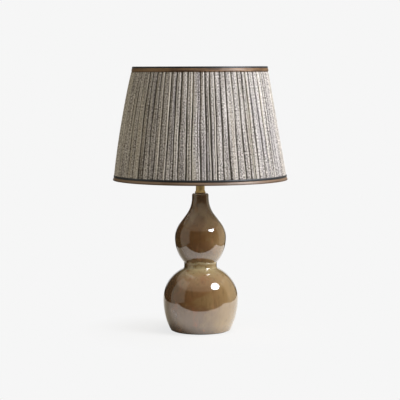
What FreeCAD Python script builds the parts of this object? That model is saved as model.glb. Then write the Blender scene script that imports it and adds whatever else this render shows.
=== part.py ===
import FreeCAD, Part
import math
import operator
import os

import Sketcher
from FreeCAD import Placement, Rotation, Vector

# Table lamp with a glazed ceramic double gourd body, a brass neck, a harp and a
# pleated linen shade.  The frame's origin is the middle of the underside of the
# felt pad.  +Z is up, the front of the lamp faces -Y and the harp spans X.

# The driving sizes, in millimetres, one group for each part of the lamp.
SIZES = {
    "Felt pad and foot": {
        "felt_thickness": 1.5,
        "felt_inset": 4.0,
        "foot_radius": 61.2,
        "foot_edge_radius": 1.5,
        "recess_radius": 52.0,
        "recess_depth": 18.0,
        "floor_thickness": 6.0,
        "cord_hole_radius": 4.8,
        "cord_hole_height": 9.5,
    },
    "Gourd outline": {
        "wall_thickness": 5.5,
        "lower_equator_radius": 77.1,
        "lower_equator_height": 63.5,
        "lower_shoulder_arc": 71.5,
        "waist_radius": 33.4,
        "waist_fillet": 5.0,
        "upper_equator_radius": 52.4,
        "upper_equator_height": 191.6,
        "upper_belly_arc": 77.0,
        "upper_dome_arc": 51.8,
        "neck_flare_arc": 59.0,
        "neck_flare_height": 273.3,
        "neck_radius": 17.0,
        "ceramic_height": 283.8,
        "lip_radius": 4.0,
        "lip_thickness": 5.0,
    },
    "Threaded rod and its fittings": {
        "rod_radius": 4.9,
        "rod_bore_radius": 3.4,
        "rod_chamfer": 0.5,
        "rod_hole_clearance": 1.4,
        "rod_fit": 0.2,
        "rod_below_nut": 3.0,
        "rod_in_cap": 8.0,
        "washer_radius": 16.0,
        "washer_thickness": 1.6,
        "lock_washer_radius": 8.4,
        "lock_washer_thickness": 1.6,
        "lock_washer_split": 1.2,
        "nut_across_flats": 15.0,
        "nut_height": 5.0,
        "gasket_radius": 10.9,
        "gasket_thickness": 1.0,
    },
    "Cord grommet": {
        "grommet_fit": 0.05,
        "grommet_bore_radius": 3.3,
        "grommet_flange_radius": 7.0,
        "grommet_flange_thickness": 1.6,
        "grommet_stand_out": 1.0,
    },
    "Brass neck": {
        "brass_neck_height": 20.0,
        "brass_neck_radius": 9.1,
        "brass_foot_radius": 11.2,
        "brass_foot_height": 1.2,
        "brass_flare_height": 5.0,
        "brass_wall": 1.0,
        "brass_edge_radius": 1.0,
    },
    "Harp saddle and sleeves": {
        "saddle_thickness": 1.2,
        "saddle_width": 13.0,
        "saddle_end_margin": 2.4,
        "tongue_position": 24.3,
        "tongue_thickness": 1.2,
        "tongue_width": 4.0,
        "tongue_height": 12.0,
        "tongue_gap": 0.3,
        "sleeve_fit": 0.3,
        "sleeve_wall": 0.7,
        "sleeve_length": 13.0,
        "sleeve_lift": 18.0,
    },
    "Harp": {
        "harp_wire_radius": 1.6,
        "harp_height": 203.0,
        "harp_half_width": 54.0,
        "harp_leg_spare": 3.0,
        "harp_out_bend": 45.0,
        "harp_in_bend": 75.0,
        "harp_top_bend": 46.0,
        "harp_pad_radius": 6.5,
        "harp_pad_height": 3.6,
        "stud_shoulder_radius": 5.5,
        "stud_shoulder_height": 1.5,
        "stud_radius": 3.1,
        "stud_length": 16.0,
        "stud_chamfer": 0.6,
    },
    "Socket": {
        "cap_hub_radius": 8.2,
        "cap_hub_height": 6.0,
        "cap_rim_radius": 17.0,
        "cap_shoulder_height": 12.5,
        "cap_height": 20.0,
        "cap_shoulder_arc": 7.0,
        "cap_wall": 0.8,
        "set_screw_radius": 1.5,
        "set_screw_height": 3.2,
        "set_screw_stand_out": 1.2,
        "shell_fit": 0.1,
        "shell_wall": 0.6,
        "shell_start": 14.0,
        "shell_top": 60.0,
        "liner_fit": 0.15,
        "liner_wall": 0.5,
        "liner_top": 57.5,
        "core_fit": 0.2,
        "core_bottom": 16.5,
        "core_top": 36.0,
        "screw_shell_wall": 0.4,
        "screw_shell_fit": 0.25,
        "screw_shell_top": 57.0,
        "contact_radius": 4.0,
        "contact_height": 1.5,
        "terminal_radius": 2.2,
        "terminal_height": 1.6,
        "terminal_position": 9.0,
    },
    "Turn switch": {
        "stem_radius": 2.0,
        "stem_fit": 0.3,
        "stem_height": 27.0,
        "stem_inner_end": 6.0,
        "stem_outer_end": 33.0,
        "knob_radius": 6.2,
        "knob_start": 22.0,
        "knob_length": 13.0,
        "knob_edge_radius": 1.2,
        "knob_flute_count": 12,
        "knob_flute_radius": 1.1,
    },
    "Bulb": {
        "bulb_contact_gap": 0.3,
        "bulb_contact_radius": 4.0,
        "bulb_contact_height": 1.6,
        "bulb_insulator_height": 3.4,
        "bulb_insulator_radius": 9.5,
        "bulb_cap_radius": 13.0,
        "bulb_cap_height": 20.0,
        "bulb_cap_wall": 0.4,
        "thread_pitch": 3.6,
        "thread_depth": 0.6,
        "thread_count": 4,
        "glass_neck_radius": 14.0,
        "glass_neck_height": 6.0,
        "glass_flare_arc": 45.0,
        "glass_ball_radius": 30.0,
        "glass_tip_radius": 0.6,
        "glass_wall": 0.9,
        "glass_skirt": 3.6,
        "mount_radius": 6.0,
        "mount_top_radius": 3.0,
        "mount_height": 32.0,
        "filament_radius": 0.5,
        "filament_half_span": 13.0,
        "filament_rise": 14.0,
        "filament_bend": 4.0,
    },
    "Shade frame": {
        "hub_thickness": 2.2,
        "arm_finial_gap": 0.6,
        "arm_weld": 2.0,
        "hub_fit": 0.35,
        "arm_count": 3,
        "arm_wire_radius": 1.5,
        "arm_bend_start": 45.0,
        "arm_bend_radius": 90.0,
        "weld_gap": 0.1,
        "ring_wire_radius": 1.5,
        "ring_inset": 4.0,
        "ring_gap": 0.15,
        "spider_recess": 29.9,
    },
    "Shade cover and trims": {
        "cover_height": 227.1,
        "cover_bottom_radius": 177.9,
        "cover_top_radius": 138.2,
        "cover_depth": 3.2,
        "pleat_count": 62,
        "pleat_depth": 2.3,
        "pleat_valley_share": 0.2,
        "pleat_unevenness": 0.14,
        "liner_gap": 0.15,
        "liner_thickness": 0.8,
        "tape_thickness": 0.8,
        "tape_gap": 0.1,
        "top_tape_height": 6.6,
        "bottom_tape_height": 5.0,
        "piping_radius": 1.1,
        "navy_band_height": 3.7,
        "navy_band_thickness": 1.2,
        "navy_band_gap": 0.15,
    },
    "Finial": {
        "finial_base_radius": 8.0,
        "finial_base_height": 2.5,
        "finial_neck_radius": 5.2,
        "finial_neck_height": 7.0,
        "finial_ball_radius": 8.4,
        "finial_ball_height": 16.5,
        "finial_bore_spare": 1.2,
        "finial_tip_radius": 1.8,
        "finial_tip_height": 26.0,
    },
}

doc = FreeCAD.newDocument("Lamp")
sheet = doc.addObject("Spreadsheet::Sheet", "Sizes")


class Size:
    """A number together with the sheet formula that keeps it up to date."""

    def __init__(self, value, formula):
        self.value = float(value)
        self.formula = formula

    def combine(self, other, work, sign):
        """Join two sizes, or a size and a plain number, with one operator."""
        other = as_size(other)
        text = f"({self.formula} {sign} {other.formula})"
        return Size(work(self.value, other.value), text)

    def __add__(self, other):
        return self.combine(other, operator.add, "+")

    def __sub__(self, other):
        return self.combine(other, operator.sub, "-")

    def __mul__(self, other):
        return self.combine(other, operator.mul, "*")

    def __truediv__(self, other):
        return self.combine(other, operator.truediv, "/")

    def __neg__(self):
        return Size(-self.value, f"(0 - {self.formula})")


def as_size(number):
    """Give a plain number the form of a size."""
    if isinstance(number, Size):
        return number
    return Size(number, repr(float(number)))


def root(size):
    """Square root of a size."""
    return Size(math.sqrt(size.value), f"sqrt({size.formula})")


class SizeBook:
    """The driving sizes, each read from its cell by name."""


ZERO = Size(0, "0")
book = SizeBook()
row = 0
for group, entries in SIZES.items():
    row += 1
    sheet.set(f"A{row}", group)
    for alias, number in entries.items():
        row += 1
        sheet.set(f"A{row}", alias.replace("_", " "))
        sheet.set(f"B{row}", str(number))
        sheet.setAlias(f"B{row}", alias)
doc.recompute()
for entries in SIZES.values():
    for alias in entries:
        setattr(book, alias, Size(sheet.get(alias), f"Sizes.{alias}"))

# Names for the points and axes that sketch constraints refer to.
START, END, CENTRE = range(1, 4)
LEVEL_AXIS, UPRIGHT_AXIS = range(-1, -3, -1)
UP = Vector(0, 0, 1)


def origin_feature(body, role):
    """One of the body's own origin planes or axes."""
    return [item for item in body.Origin.OriginFeatures if item.Role == role][0]


def new_body(label, height=ZERO):
    """A body whose own origin stands at a height on the lamp's axis."""
    body = doc.addObject("PartDesign::Body", label)
    body.Label = label
    place(body, height=height)
    return body


def place(item, across=ZERO, back=ZERO, height=ZERO, turn=None):
    """Give a sub-part its place, bound to the sheet."""
    spot = Vector(across.value, back.value, height.value)
    item.Placement = Placement(spot, turn or Rotation())
    for axis, size in (("x", across), ("y", back), ("z", height)):
        if size is not ZERO:
            item.setExpression(f"Placement.Base.{axis}", size.formula)


def new_sketch(body, name, role="XZ_Plane", lift=None):
    """A sketch on one of the body's origin planes, lifted off it if asked."""
    sketch = body.newObject("Sketcher::SketchObject", name)
    sketch.AttachmentSupport = (origin_feature(body, role), [""])
    sketch.MapMode = "FlatFace"
    if lift is not None:
        sketch.AttachmentOffset = Placement(Vector(0, 0, lift.value), Rotation())
        sketch.setExpression("AttachmentOffset.Base.z", lift.formula)
    return sketch


class Outline:
    """A run of lines and arcs in one sketch, each edge with its two ends."""

    def __init__(self, sketch):
        self.sketch = sketch
        self.edges = []

    def line(self, start, end):
        """Add a straight edge between two points given as numbers."""
        number = len(self.edges)
        shape = Part.LineSegment(Vector(*start), Vector(*end))
        self.edges.append((self.sketch.addGeometry(shape), START, END))
        return number

    def arc(self, start, end, centre, left):
        """Add an arc; left means that its centre is on the left of the way."""
        number = len(self.edges)
        first, last = (start, end) if left else (end, start)
        begin = math.atan2(first[1] - centre[1], first[0] - centre[0])
        finish = math.atan2(last[1] - centre[1], last[0] - centre[0])
        if finish < begin:
            finish += 2 * math.pi
        circle = Part.Circle(Vector(*centre), UP, math.dist(start, centre))
        edge = self.sketch.addGeometry(Part.ArcOfCircle(circle, begin, finish))
        self.edges.append((edge, START, END) if left else (edge, END, START))
        return number

    def rule(self, *terms):
        """Add one constraint."""
        return self.sketch.addConstraint(Sketcher.Constraint(*terms))

    def join(self, index, following, smooth=False):
        """Tie the end of one edge to the start of another."""
        edge, _, tail = self.edges[index]
        other, head, _ = self.edges[following]
        self.rule("Tangent" if smooth else "Coincident", edge, tail, other, head)

    def dimension(self, kind, size, *terms):
        """Add a dimension and bind it to the sheet."""
        number = self.rule(kind, *terms, size.value)
        self.sketch.setExpression(f"Constraints[{number}]", size.formula)

    def pin(self, edge, spot, across=None, up=None):
        """Dimension a point from the sketch's origin, along either axis."""
        for kind, size, axis in (("DistanceX", across, UPRIGHT_AXIS),
                                 ("DistanceY", up, LEVEL_AXIS)):
            if size is ZERO:
                self.rule("PointOnObject", edge, spot, axis)
            elif size is not None:
                self.dimension(kind, size, LEVEL_AXIS, START, edge, spot)

    def pin_start(self, index, across=None, up=None):
        """Dimension where an edge starts."""
        edge, head, _ = self.edges[index]
        self.pin(edge, head, across, up)

    def pin_centre(self, index, across=None, up=None):
        """Dimension the centre of an arc."""
        self.pin(self.edges[index][0], CENTRE, across, up)

    def radius(self, index, size):
        """Dimension the radius of an arc."""
        self.dimension("Radius", size, self.edges[index][0])


def arc_centre(start, end, radius, left):
    """Centre of the shorter arc of a radius between two points."""
    middle = ((start[0] + end[0]) / 2, (start[1] + end[1]) / 2)
    half = math.dist(start, end) / 2
    along = ((end[0] - start[0]) / (2 * half), (end[1] - start[1]) / (2 * half))
    depth = math.sqrt(max(radius ** 2 - half ** 2, 0.0))
    side = depth if left else -depth
    return (middle[0] - along[1] * side, middle[1] + along[0] * side)


def draw_loop(sketch, points, curves=None):
    """Closed outline through dimensioned points.

    curves maps the number of a side, counted from the point where it starts,
    to (radius, left), and the other sides are straight.
    """
    curves = curves or {}
    outline = Outline(sketch)
    spots = [(across.value, up.value) for across, up in points]
    count = len(spots)
    for index, start in enumerate(spots):
        end = spots[(index + 1) % count]
        if index in curves:
            radius, left = curves[index]
            centre = arc_centre(start, end, radius.value, left)
            outline.arc(start, end, centre, left)
        else:
            outline.line(start, end)
    for index in range(count):
        outline.join(index, (index + 1) % count)
    for index, (across, up) in enumerate(points):
        outline.pin_start(index, across, up)
    for index, (radius, _) in curves.items():
        outline.radius(index, radius)
    return outline


def draw_circle(sketch, radius, across=ZERO, up=ZERO):
    """Dimensioned circle."""
    outline = Outline(sketch)
    circle = Part.Circle(Vector(across.value, up.value), UP, radius.value)
    edge = sketch.addGeometry(circle)
    outline.dimension("Radius", radius, edge)
    outline.pin(edge, CENTRE, across, up)


def draw_box(sketch, left, right, low, high):
    """Dimensioned rectangle."""
    return draw_loop(sketch, [(left, low), (right, low), (right, high), (left, high)])


def revolve(body, sketch, name="turned"):
    """Turn a half section about the body's Z axis."""
    feature = body.newObject("PartDesign::Revolution", name)
    feature.Profile = sketch
    feature.ReferenceAxis = (sketch, ["V_Axis"])
    feature.Angle = 360
    return feature


def pad(body, sketch, length, name="pad"):
    """Extrude a sketch along its plane's normal."""
    feature = body.newObject("PartDesign::Pad", name)
    feature.Profile = sketch
    feature.Length = length.value
    feature.setExpression("Length", length.formula)
    return feature


def pocket(body, sketch, length, reverse=False, name="pocket"):
    """Cut a sketch into the body and make sure that it removes material."""
    doc.recompute()
    before = body.Shape.Volume
    feature = body.newObject("PartDesign::Pocket", name)
    feature.Profile = sketch
    feature.Length = length.value
    feature.setExpression("Length", length.formula)
    feature.Reversed = reverse
    doc.recompute()
    if body.Shape.Volume >= before:
        raise RuntimeError(f"{body.Label}: {name} removes nothing")
    return feature


def polar(body, feature, count, name="around"):
    """Repeat a feature about the body's Z axis."""
    pattern = body.newObject("PartDesign::PolarPattern", name)
    pattern.Originals = [feature]
    pattern.Axis = (origin_feature(body, "Z_Axis"), [""])
    pattern.Angle = 360
    pattern.Occurrences = int(count.value)
    pattern.setExpression("Occurrences", count.formula)
    body.Tip = pattern
    return pattern


def pipe(body, section, spine, edge_count, name="wire"):
    """Sweep a section along a spine of joined edges."""
    doc.recompute()
    feature = body.newObject("PartDesign::AdditivePipe", name)
    feature.Profile = section
    feature.Spine = (spine, [f"Edge{number + 1}" for number in range(edge_count)])
    return feature


def washer(label, height, outer, bore, thickness):
    """Flat ring padded up from a height."""
    body = new_body(label, height)
    sketch = new_sketch(body, f"{label}_outline", "XY_Plane")
    draw_circle(sketch, outer)
    draw_circle(sketch, bore)
    pad(body, sketch, thickness)
    return body


def turned_ring(label, height, points, curves=None):
    """Body turned from one closed half section."""
    body = new_body(label, height)
    sketch = new_sketch(body, f"{label}_section")
    draw_loop(sketch, points, curves)
    revolve(body, sketch)
    return body


def gourd_points(inset):
    """Joints of the gourd's outline, drawn in from the outside by an inset.

    Bulging arcs lose the inset and hollow ones gain it, so all stay concentric.
    The centres of both bellies' arcs lie level with their equators.
    """
    lower = book.lower_equator_radius.value
    lower_level = book.lower_equator_height.value
    upper = book.upper_equator_radius.value
    upper_level = book.upper_equator_height.value
    shoulder = book.lower_shoulder_arc.value - inset
    belly = book.upper_belly_arc.value - inset
    dome = book.upper_dome_arc.value - inset
    flare = book.neck_flare_arc.value + inset
    fillet = book.waist_fillet.value + inset
    waist = book.waist_radius.value - inset
    neck = book.neck_radius.value - inset
    spots = {}
    spots["shoulder_centre"] = (lower - shoulder - inset, lower_level)
    reach = waist + fillet - spots["shoulder_centre"][0]
    rise = math.sqrt((shoulder + fillet) ** 2 - reach ** 2)
    spots["fillet_centre"] = (waist + fillet, lower_level + rise)
    share = shoulder / (shoulder + fillet)
    spots["fillet_start"] = (spots["shoulder_centre"][0] + reach * share,
                             lower_level + rise * share)
    spots["waist_low"] = (waist, lower_level + rise)
    spots["belly_centre"] = (upper - belly - inset, upper_level)
    drop = math.sqrt(belly ** 2 - (waist - spots["belly_centre"][0]) ** 2)
    spots["waist_high"] = (waist, upper_level - drop)
    spots["dome_centre"] = (upper - dome - inset, upper_level)
    spots["flare_centre"] = (neck + flare, book.neck_flare_height.value)
    run = spots["flare_centre"][0] - spots["dome_centre"][0]
    climb = spots["flare_centre"][1] - upper_level
    gap = math.hypot(run, climb)
    lean = math.atan2(climb, run) - math.acos((dome + flare) / gap)
    spots["dome_end"] = (spots["dome_centre"][0] + dome * math.cos(lean),
                         upper_level + dome * math.sin(lean))
    spots["flare_start"] = (spots["flare_centre"][0] - flare * math.cos(lean),
                            spots["flare_centre"][1] - flare * math.sin(lean))
    spots["neck_low"] = (neck, book.neck_flare_height.value)
    spots["lower_equator"] = (lower - inset, lower_level)
    spots["upper_equator"] = (upper - inset, upper_level)
    return spots


def foot_arc_radius():
    """Radius of the arc from the foot to the lower equator."""
    step = book.lower_equator_radius - book.foot_radius
    level = book.lower_equator_height
    return (step * step + level * level) / (step * 2)


def draw_gourd_side(outline, inset, upward):
    """Add the gourd's side from the lower equator to the neck, or back down.

    The edges join smoothly except at the top of the waist's collar.
    """
    spots = gourd_points(inset.value)
    steps = [
        ("lower_equator", "fillet_start", "shoulder_centre", True),
        ("fillet_start", "waist_low", "fillet_centre", False),
        ("waist_low", "waist_high", None, None),
        ("waist_high", "upper_equator", "belly_centre", True),
        ("upper_equator", "dome_end", "dome_centre", True),
        ("dome_end", "flare_start", None, None),
        ("flare_start", "neck_low", "flare_centre", False),
    ]
    if not upward:
        steps = [(end, start, centre, None if left is None else not left)
                 for start, end, centre, left in reversed(steps)]
    edges = {}
    for start, end, centre, left in steps:
        if centre is None:
            number = outline.line(spots[start], spots[end])
            edges[frozenset((start, end))] = number
        else:
            number = outline.arc(spots[start], spots[end], spots[centre], left)
            edges[centre] = number
    smooth_spots = ("fillet_start", "dome_end", "flare_start")
    numbers = edges_in_order(edges)
    for number, following, (_, end, _, _) in zip(numbers, numbers[1:], steps):
        outline.join(number, following, smooth=end in smooth_spots)
    shoulder, fillet = edges["shoulder_centre"], edges["fillet_centre"]
    belly, dome = edges["belly_centre"], edges["dome_centre"]
    flare = edges["flare_centre"]
    outline.radius(shoulder, book.lower_shoulder_arc - inset)
    outline.radius(fillet, book.waist_fillet + inset)
    outline.radius(belly, book.upper_belly_arc - inset)
    outline.radius(dome, book.upper_dome_arc - inset)
    outline.radius(flare, book.neck_flare_arc + inset)
    outline.pin_centre(shoulder, up=book.lower_equator_height)
    outline.pin_centre(belly, up=book.upper_equator_height)
    outline.pin_centre(dome, up=book.upper_equator_height)
    outline.pin_centre(flare, up=book.neck_flare_height)
    pinned = {
        "lower_equator": (book.lower_equator_radius - inset, book.lower_equator_height),
        "waist_low": (book.waist_radius - inset, None),
        "waist_high": (book.waist_radius - inset, None),
        "upper_equator": (book.upper_equator_radius - inset, book.upper_equator_height),
        "neck_low": (book.neck_radius - inset, book.neck_flare_height),
    }
    for number, (start, _, _, _) in zip(numbers, steps):
        if start in pinned:
            outline.pin_start(number, *pinned[start])
    last_edge, _, tail = outline.edges[numbers[-1]]
    outline.pin(last_edge, tail, *pinned[steps[-1][1]])
    fillet_edge = outline.edges[fillet]
    at_waist = fillet_edge[2] if upward else fillet_edge[1]
    outline.rule("Horizontal", fillet_edge[0], at_waist, fillet_edge[0], CENTRE)
    return numbers[0]


def edges_in_order(edges):
    """Numbers of a run's edges, lowest first."""
    return sorted(edges.values())


def ceramic_body():
    """Slip cast double gourd: one wall, a recessed floor and a rounded lip."""
    body = new_body("ceramic_body", book.felt_thickness)
    sketch = new_sketch(body, "gourd_section")
    outline = Outline(sketch)
    wall = book.wall_thickness
    outside = gourd_points(0.0)
    inside = gourd_points(wall.value)
    foot_arc = foot_arc_radius()
    foot_centre = (book.lower_equator_radius.value - foot_arc.value,
                   book.lower_equator_height.value)
    top = book.ceramic_height
    lip = book.lip_radius
    neck = book.neck_radius
    roof = top - book.lip_thickness
    hole = book.rod_radius + book.rod_hole_clearance
    ceiling = book.recess_depth
    floor = book.recess_depth + book.floor_thickness
    inner_foot = foot_arc - wall
    fall = book.lower_equator_height.value - floor.value
    floor_edge = (foot_centre[0] + math.sqrt(inner_foot.value ** 2 - fall ** 2),
                  floor.value)
    recess = (book.recess_radius.value, 0.0)
    foot = (book.foot_radius.value, 0.0)
    foot_line = outline.line(recess, foot)
    foot_edge = outline.arc(foot, outside["lower_equator"], foot_centre, True)
    side = draw_gourd_side(outline, ZERO, upward=True)
    lip_low = (neck.value, top.value - lip.value)
    lip_high = (neck.value - lip.value, top.value)
    lip_centre = (neck.value - lip.value, top.value - lip.value)
    neck_line = outline.line(outside["neck_low"], lip_low)
    lip_edge = outline.arc(lip_low, lip_high, lip_centre, True)
    mouth_top = (hole.value, top.value)
    mouth_low = (hole.value, roof.value)
    roof_edge = (neck.value - wall.value, roof.value)
    crown = outline.line(lip_high, mouth_top)
    mouth = outline.line(mouth_top, mouth_low)
    under = outline.line(mouth_low, roof_edge)
    bore = outline.line(roof_edge, inside["neck_low"])
    inner_side = draw_gourd_side(outline, wall, upward=False)
    inner_arc = outline.arc(inside["lower_equator"], floor_edge, foot_centre, False)
    rod_top = (hole.value, floor.value)
    rod_low = (hole.value, ceiling.value)
    recess_top = (book.recess_radius.value, ceiling.value)
    floor_line = outline.line(floor_edge, rod_top)
    rod_line = outline.line(rod_top, rod_low)
    ceiling_line = outline.line(rod_low, recess_top)
    recess_line = outline.line(recess_top, recess)
    for first, second in ((foot_line, foot_edge), (foot_edge, side),
                          (neck_line, lip_edge), (lip_edge, crown), (crown, mouth),
                          (mouth, under), (under, bore), (bore, inner_side),
                          (inner_arc, floor_line), (floor_line, rod_line),
                          (rod_line, ceiling_line), (ceiling_line, recess_line),
                          (recess_line, foot_line)):
        outline.join(first, second)
    outline.join(neck_line - 1, neck_line)
    outline.join(inner_arc - 1, inner_arc)
    outline.pin_start(foot_line, book.recess_radius, ZERO)
    outline.pin_start(foot_edge, book.foot_radius, ZERO)
    outline.pin_centre(foot_edge, up=book.lower_equator_height)
    outline.pin_start(lip_edge, neck, top - lip)
    outline.radius(lip_edge, lip)
    outline.pin_start(crown, neck - lip, top)
    outline.pin_start(mouth, hole, top)
    outline.pin_start(under, hole, roof)
    outline.pin_start(bore, neck - wall, roof)
    outline.pin_centre(inner_arc, up=book.lower_equator_height)
    outline.radius(inner_arc, inner_foot)
    outline.pin_start(floor_line, up=floor)
    outline.pin_start(rod_line, hole, floor)
    outline.pin_start(ceiling_line, hole, ceiling)
    outline.pin_start(recess_line, book.recess_radius, ceiling)
    turned = revolve(body, sketch)
    doc.recompute()
    foot_rims = circles_at(turned.Shape, book.foot_radius.value, ZERO.value)
    edge_round = body.newObject("PartDesign::Fillet", "foot_round")
    edge_round.Base = (turned, foot_rims)
    edge_round.Radius = book.foot_edge_radius.value
    edge_round.setExpression("Radius", book.foot_edge_radius.formula)
    hole_sketch = new_sketch(body, "cord_hole")
    draw_circle(hole_sketch, book.cord_hole_radius, ZERO, book.cord_hole_height)
    pocket(body, hole_sketch, book.lower_equator_radius, name="cord_hole_cut")
    return body


def circles_at(shape, radius, height):
    """Names of the shape's whole circular edges of a radius at a height."""
    close = 1e-4
    found = []
    for number, edge in enumerate(shape.Edges):
        if not isinstance(edge.Curve, Part.Circle):
            continue
        level = edge.Curve.Center.z
        if abs(edge.Curve.Radius - radius) < close and abs(level - height) < close:
            found.append(f"Edge{number + 1}")
    return found


# Heights of the seats that the parts stand on, from the foot upwards.
ceramic_top = book.felt_thickness + book.ceramic_height
brass_seat = ceramic_top + book.gasket_thickness
saddle_seat = brass_seat + book.brass_neck_height
cap_seat = saddle_seat + book.saddle_thickness
recess_ceiling = book.felt_thickness + book.recess_depth
washer_seat = recess_ceiling - book.washer_thickness
lock_washer_seat = washer_seat - book.lock_washer_thickness
nut_seat = lock_washer_seat - book.nut_height
rod_foot = nut_seat - book.rod_below_nut
rod_length = cap_seat + book.rod_in_cap - rod_foot
rod_bore = book.rod_radius + book.rod_fit
harp_top = cap_seat + book.harp_height
hub_seat = harp_top + book.stud_shoulder_height
hub_top = hub_seat + book.hub_thickness
cover_foot = hub_seat + book.spider_recess - book.cover_height


def foot_felt():
    """Round felt pad glued under the foot and over the recess."""
    felt = doc.addObject("Part::Cylinder", "foot_felt")
    felt.Label = "foot_felt"
    radius = book.foot_radius - book.felt_inset
    felt.Radius = radius.value
    felt.Height = book.felt_thickness.value
    felt.setExpression("Radius", radius.formula)
    felt.setExpression("Height", book.felt_thickness.formula)
    place(felt)
    return felt


def threaded_rod():
    """Hollow rod that the cord rises in and that clamps the whole stack."""
    outer, bore, cut = book.rod_radius, book.rod_bore_radius, book.rod_chamfer
    return turned_ring("threaded_rod", rod_foot, [
        (bore, ZERO), (outer - cut, ZERO), (outer, cut), (outer, rod_length - cut),
        (outer - cut, rod_length), (bore, rod_length)])


def lock_washer():
    """Split washer between the nut and the flat washer."""
    body = washer("bottom_lock_washer", lock_washer_seat, book.lock_washer_radius,
                  rod_bore, book.lock_washer_thickness)
    sketch = new_sketch(body, "split", "XY_Plane")
    half = book.lock_washer_split / 2
    draw_box(sketch, ZERO, book.lock_washer_radius * 2, -half, half)
    pocket(body, sketch, book.lock_washer_thickness, reverse=True, name="split_cut")
    return body


def bottom_nut():
    """Hexagon nut that draws the rod down."""
    body = new_body("bottom_nut", nut_seat)
    sketch = new_sketch(body, "hexagon", "XY_Plane")
    half = book.nut_across_flats / 2
    side = half * 2 / root(as_size(3))
    corners = [(side, ZERO), (side / 2, half), (-side / 2, half), (-side, ZERO),
               (-side / 2, -half), (side / 2, -half)]
    draw_loop(sketch, corners)
    draw_circle(sketch, rod_bore)
    pad(body, sketch, book.nut_height)
    return body


def cord_grommet():
    """Rubber bush in the cord hole, its flange inside the recess."""
    body = doc.addObject("PartDesign::Body", "cord_grommet")
    body.Label = "cord_grommet"
    height = book.felt_thickness + book.cord_hole_height
    flange = book.grommet_flange_radius
    sagitta = flange * flange / (book.recess_radius * 2)
    inner_face = book.recess_radius - sagitta - book.grommet_flange_thickness
    place(body, back=inner_face, height=height, turn=Rotation(Vector(1, 0, 0), -90))
    sketch = new_sketch(body, "grommet_section")
    bore = book.grommet_bore_radius
    outer = book.cord_hole_radius - book.grommet_fit
    collar = book.grommet_flange_thickness - sagitta
    wall_level = book.lower_equator_height - book.cord_hole_height - book.cord_hole_radius
    foot_arc = foot_arc_radius()
    outside = book.lower_equator_radius - foot_arc + root(
        foot_arc * foot_arc - wall_level * wall_level)
    length = outside + book.grommet_stand_out - inner_face
    draw_loop(sketch, [(bore, ZERO), (flange, ZERO), (flange, collar),
                       (outer, collar + sagitta), (outer, length), (bore, length)])
    revolve(body, sketch)
    return body


def brass_neck():
    """Spun tube with a flared foot and a closed top that carries the saddle."""
    tall = book.brass_neck_height
    body_radius, foot = book.brass_neck_radius, book.brass_foot_radius
    step, flare = book.brass_foot_height, book.brass_flare_height
    wall, edge = book.brass_wall, book.brass_edge_radius
    widening = foot - body_radius
    rise = flare - step
    flare_arc = (widening * widening + rise * rise) / (widening * 2)
    return turned_ring("brass_neck", brass_seat, [
        (foot - wall, ZERO), (foot, ZERO), (foot, step), (body_radius, flare),
        (body_radius, tall - edge), (body_radius - edge, tall), (rod_bore, tall),
        (rod_bore, tall - wall), (body_radius - wall, tall - wall),
        (body_radius - wall, flare), (foot - wall, step)],
        {2: (flare_arc, False), 4: (edge, True), 9: (flare_arc, True)})


tongue_outside = book.tongue_position + book.tongue_thickness
leg_position = tongue_outside + book.tongue_gap + book.harp_wire_radius
sleeve_half_span = (book.tongue_thickness + book.tongue_gap
                    + book.harp_wire_radius * 2) / 2
sleeve_position = book.tongue_position + sleeve_half_span
sleeve_bore = root(sleeve_half_span * sleeve_half_span
                   + book.tongue_width * book.tongue_width / 4) + book.sleeve_fit


def harp_saddle():
    """Steel strip clamped under the socket, with a tongue at either end."""
    body = new_body("harp_saddle", saddle_seat)
    sketch = new_sketch(body, "strip", "XY_Plane")
    half = book.saddle_width / 2
    reach = leg_position + book.harp_wire_radius + book.saddle_end_margin
    straight = reach - half
    draw_loop(sketch, [(-straight, -half), (straight, -half), (reach, ZERO),
                       (straight, half), (-straight, half), (-reach, ZERO)],
              {1: (half, True), 2: (half, True), 4: (half, True), 5: (half, True)})
    draw_circle(sketch, rod_bore)
    pad(body, sketch, book.saddle_thickness, "strip_pad")
    tongue_half = book.tongue_width / 2
    for side, near, far in (("left", -tongue_outside, -book.tongue_position),
                            ("right", book.tongue_position, tongue_outside)):
        outline = new_sketch(body, f"tongue_{side}", "XY_Plane")
        draw_box(outline, near, far, -tongue_half, tongue_half)
        pad(body, outline, book.saddle_thickness + book.tongue_height, f"tongue_{side}_pad")
    return body


def harp_sleeve(label, side):
    """Tube that locks a harp leg to its tongue."""
    body = new_body(label)
    place(body, across=sleeve_position * side, height=cap_seat + book.sleeve_fit)
    sketch = new_sketch(body, f"{label}_outline", "XY_Plane")
    draw_circle(sketch, sleeve_bore + book.sleeve_wall)
    draw_circle(sketch, sleeve_bore)
    pad(body, sketch, book.sleeve_length)
    return body


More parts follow.
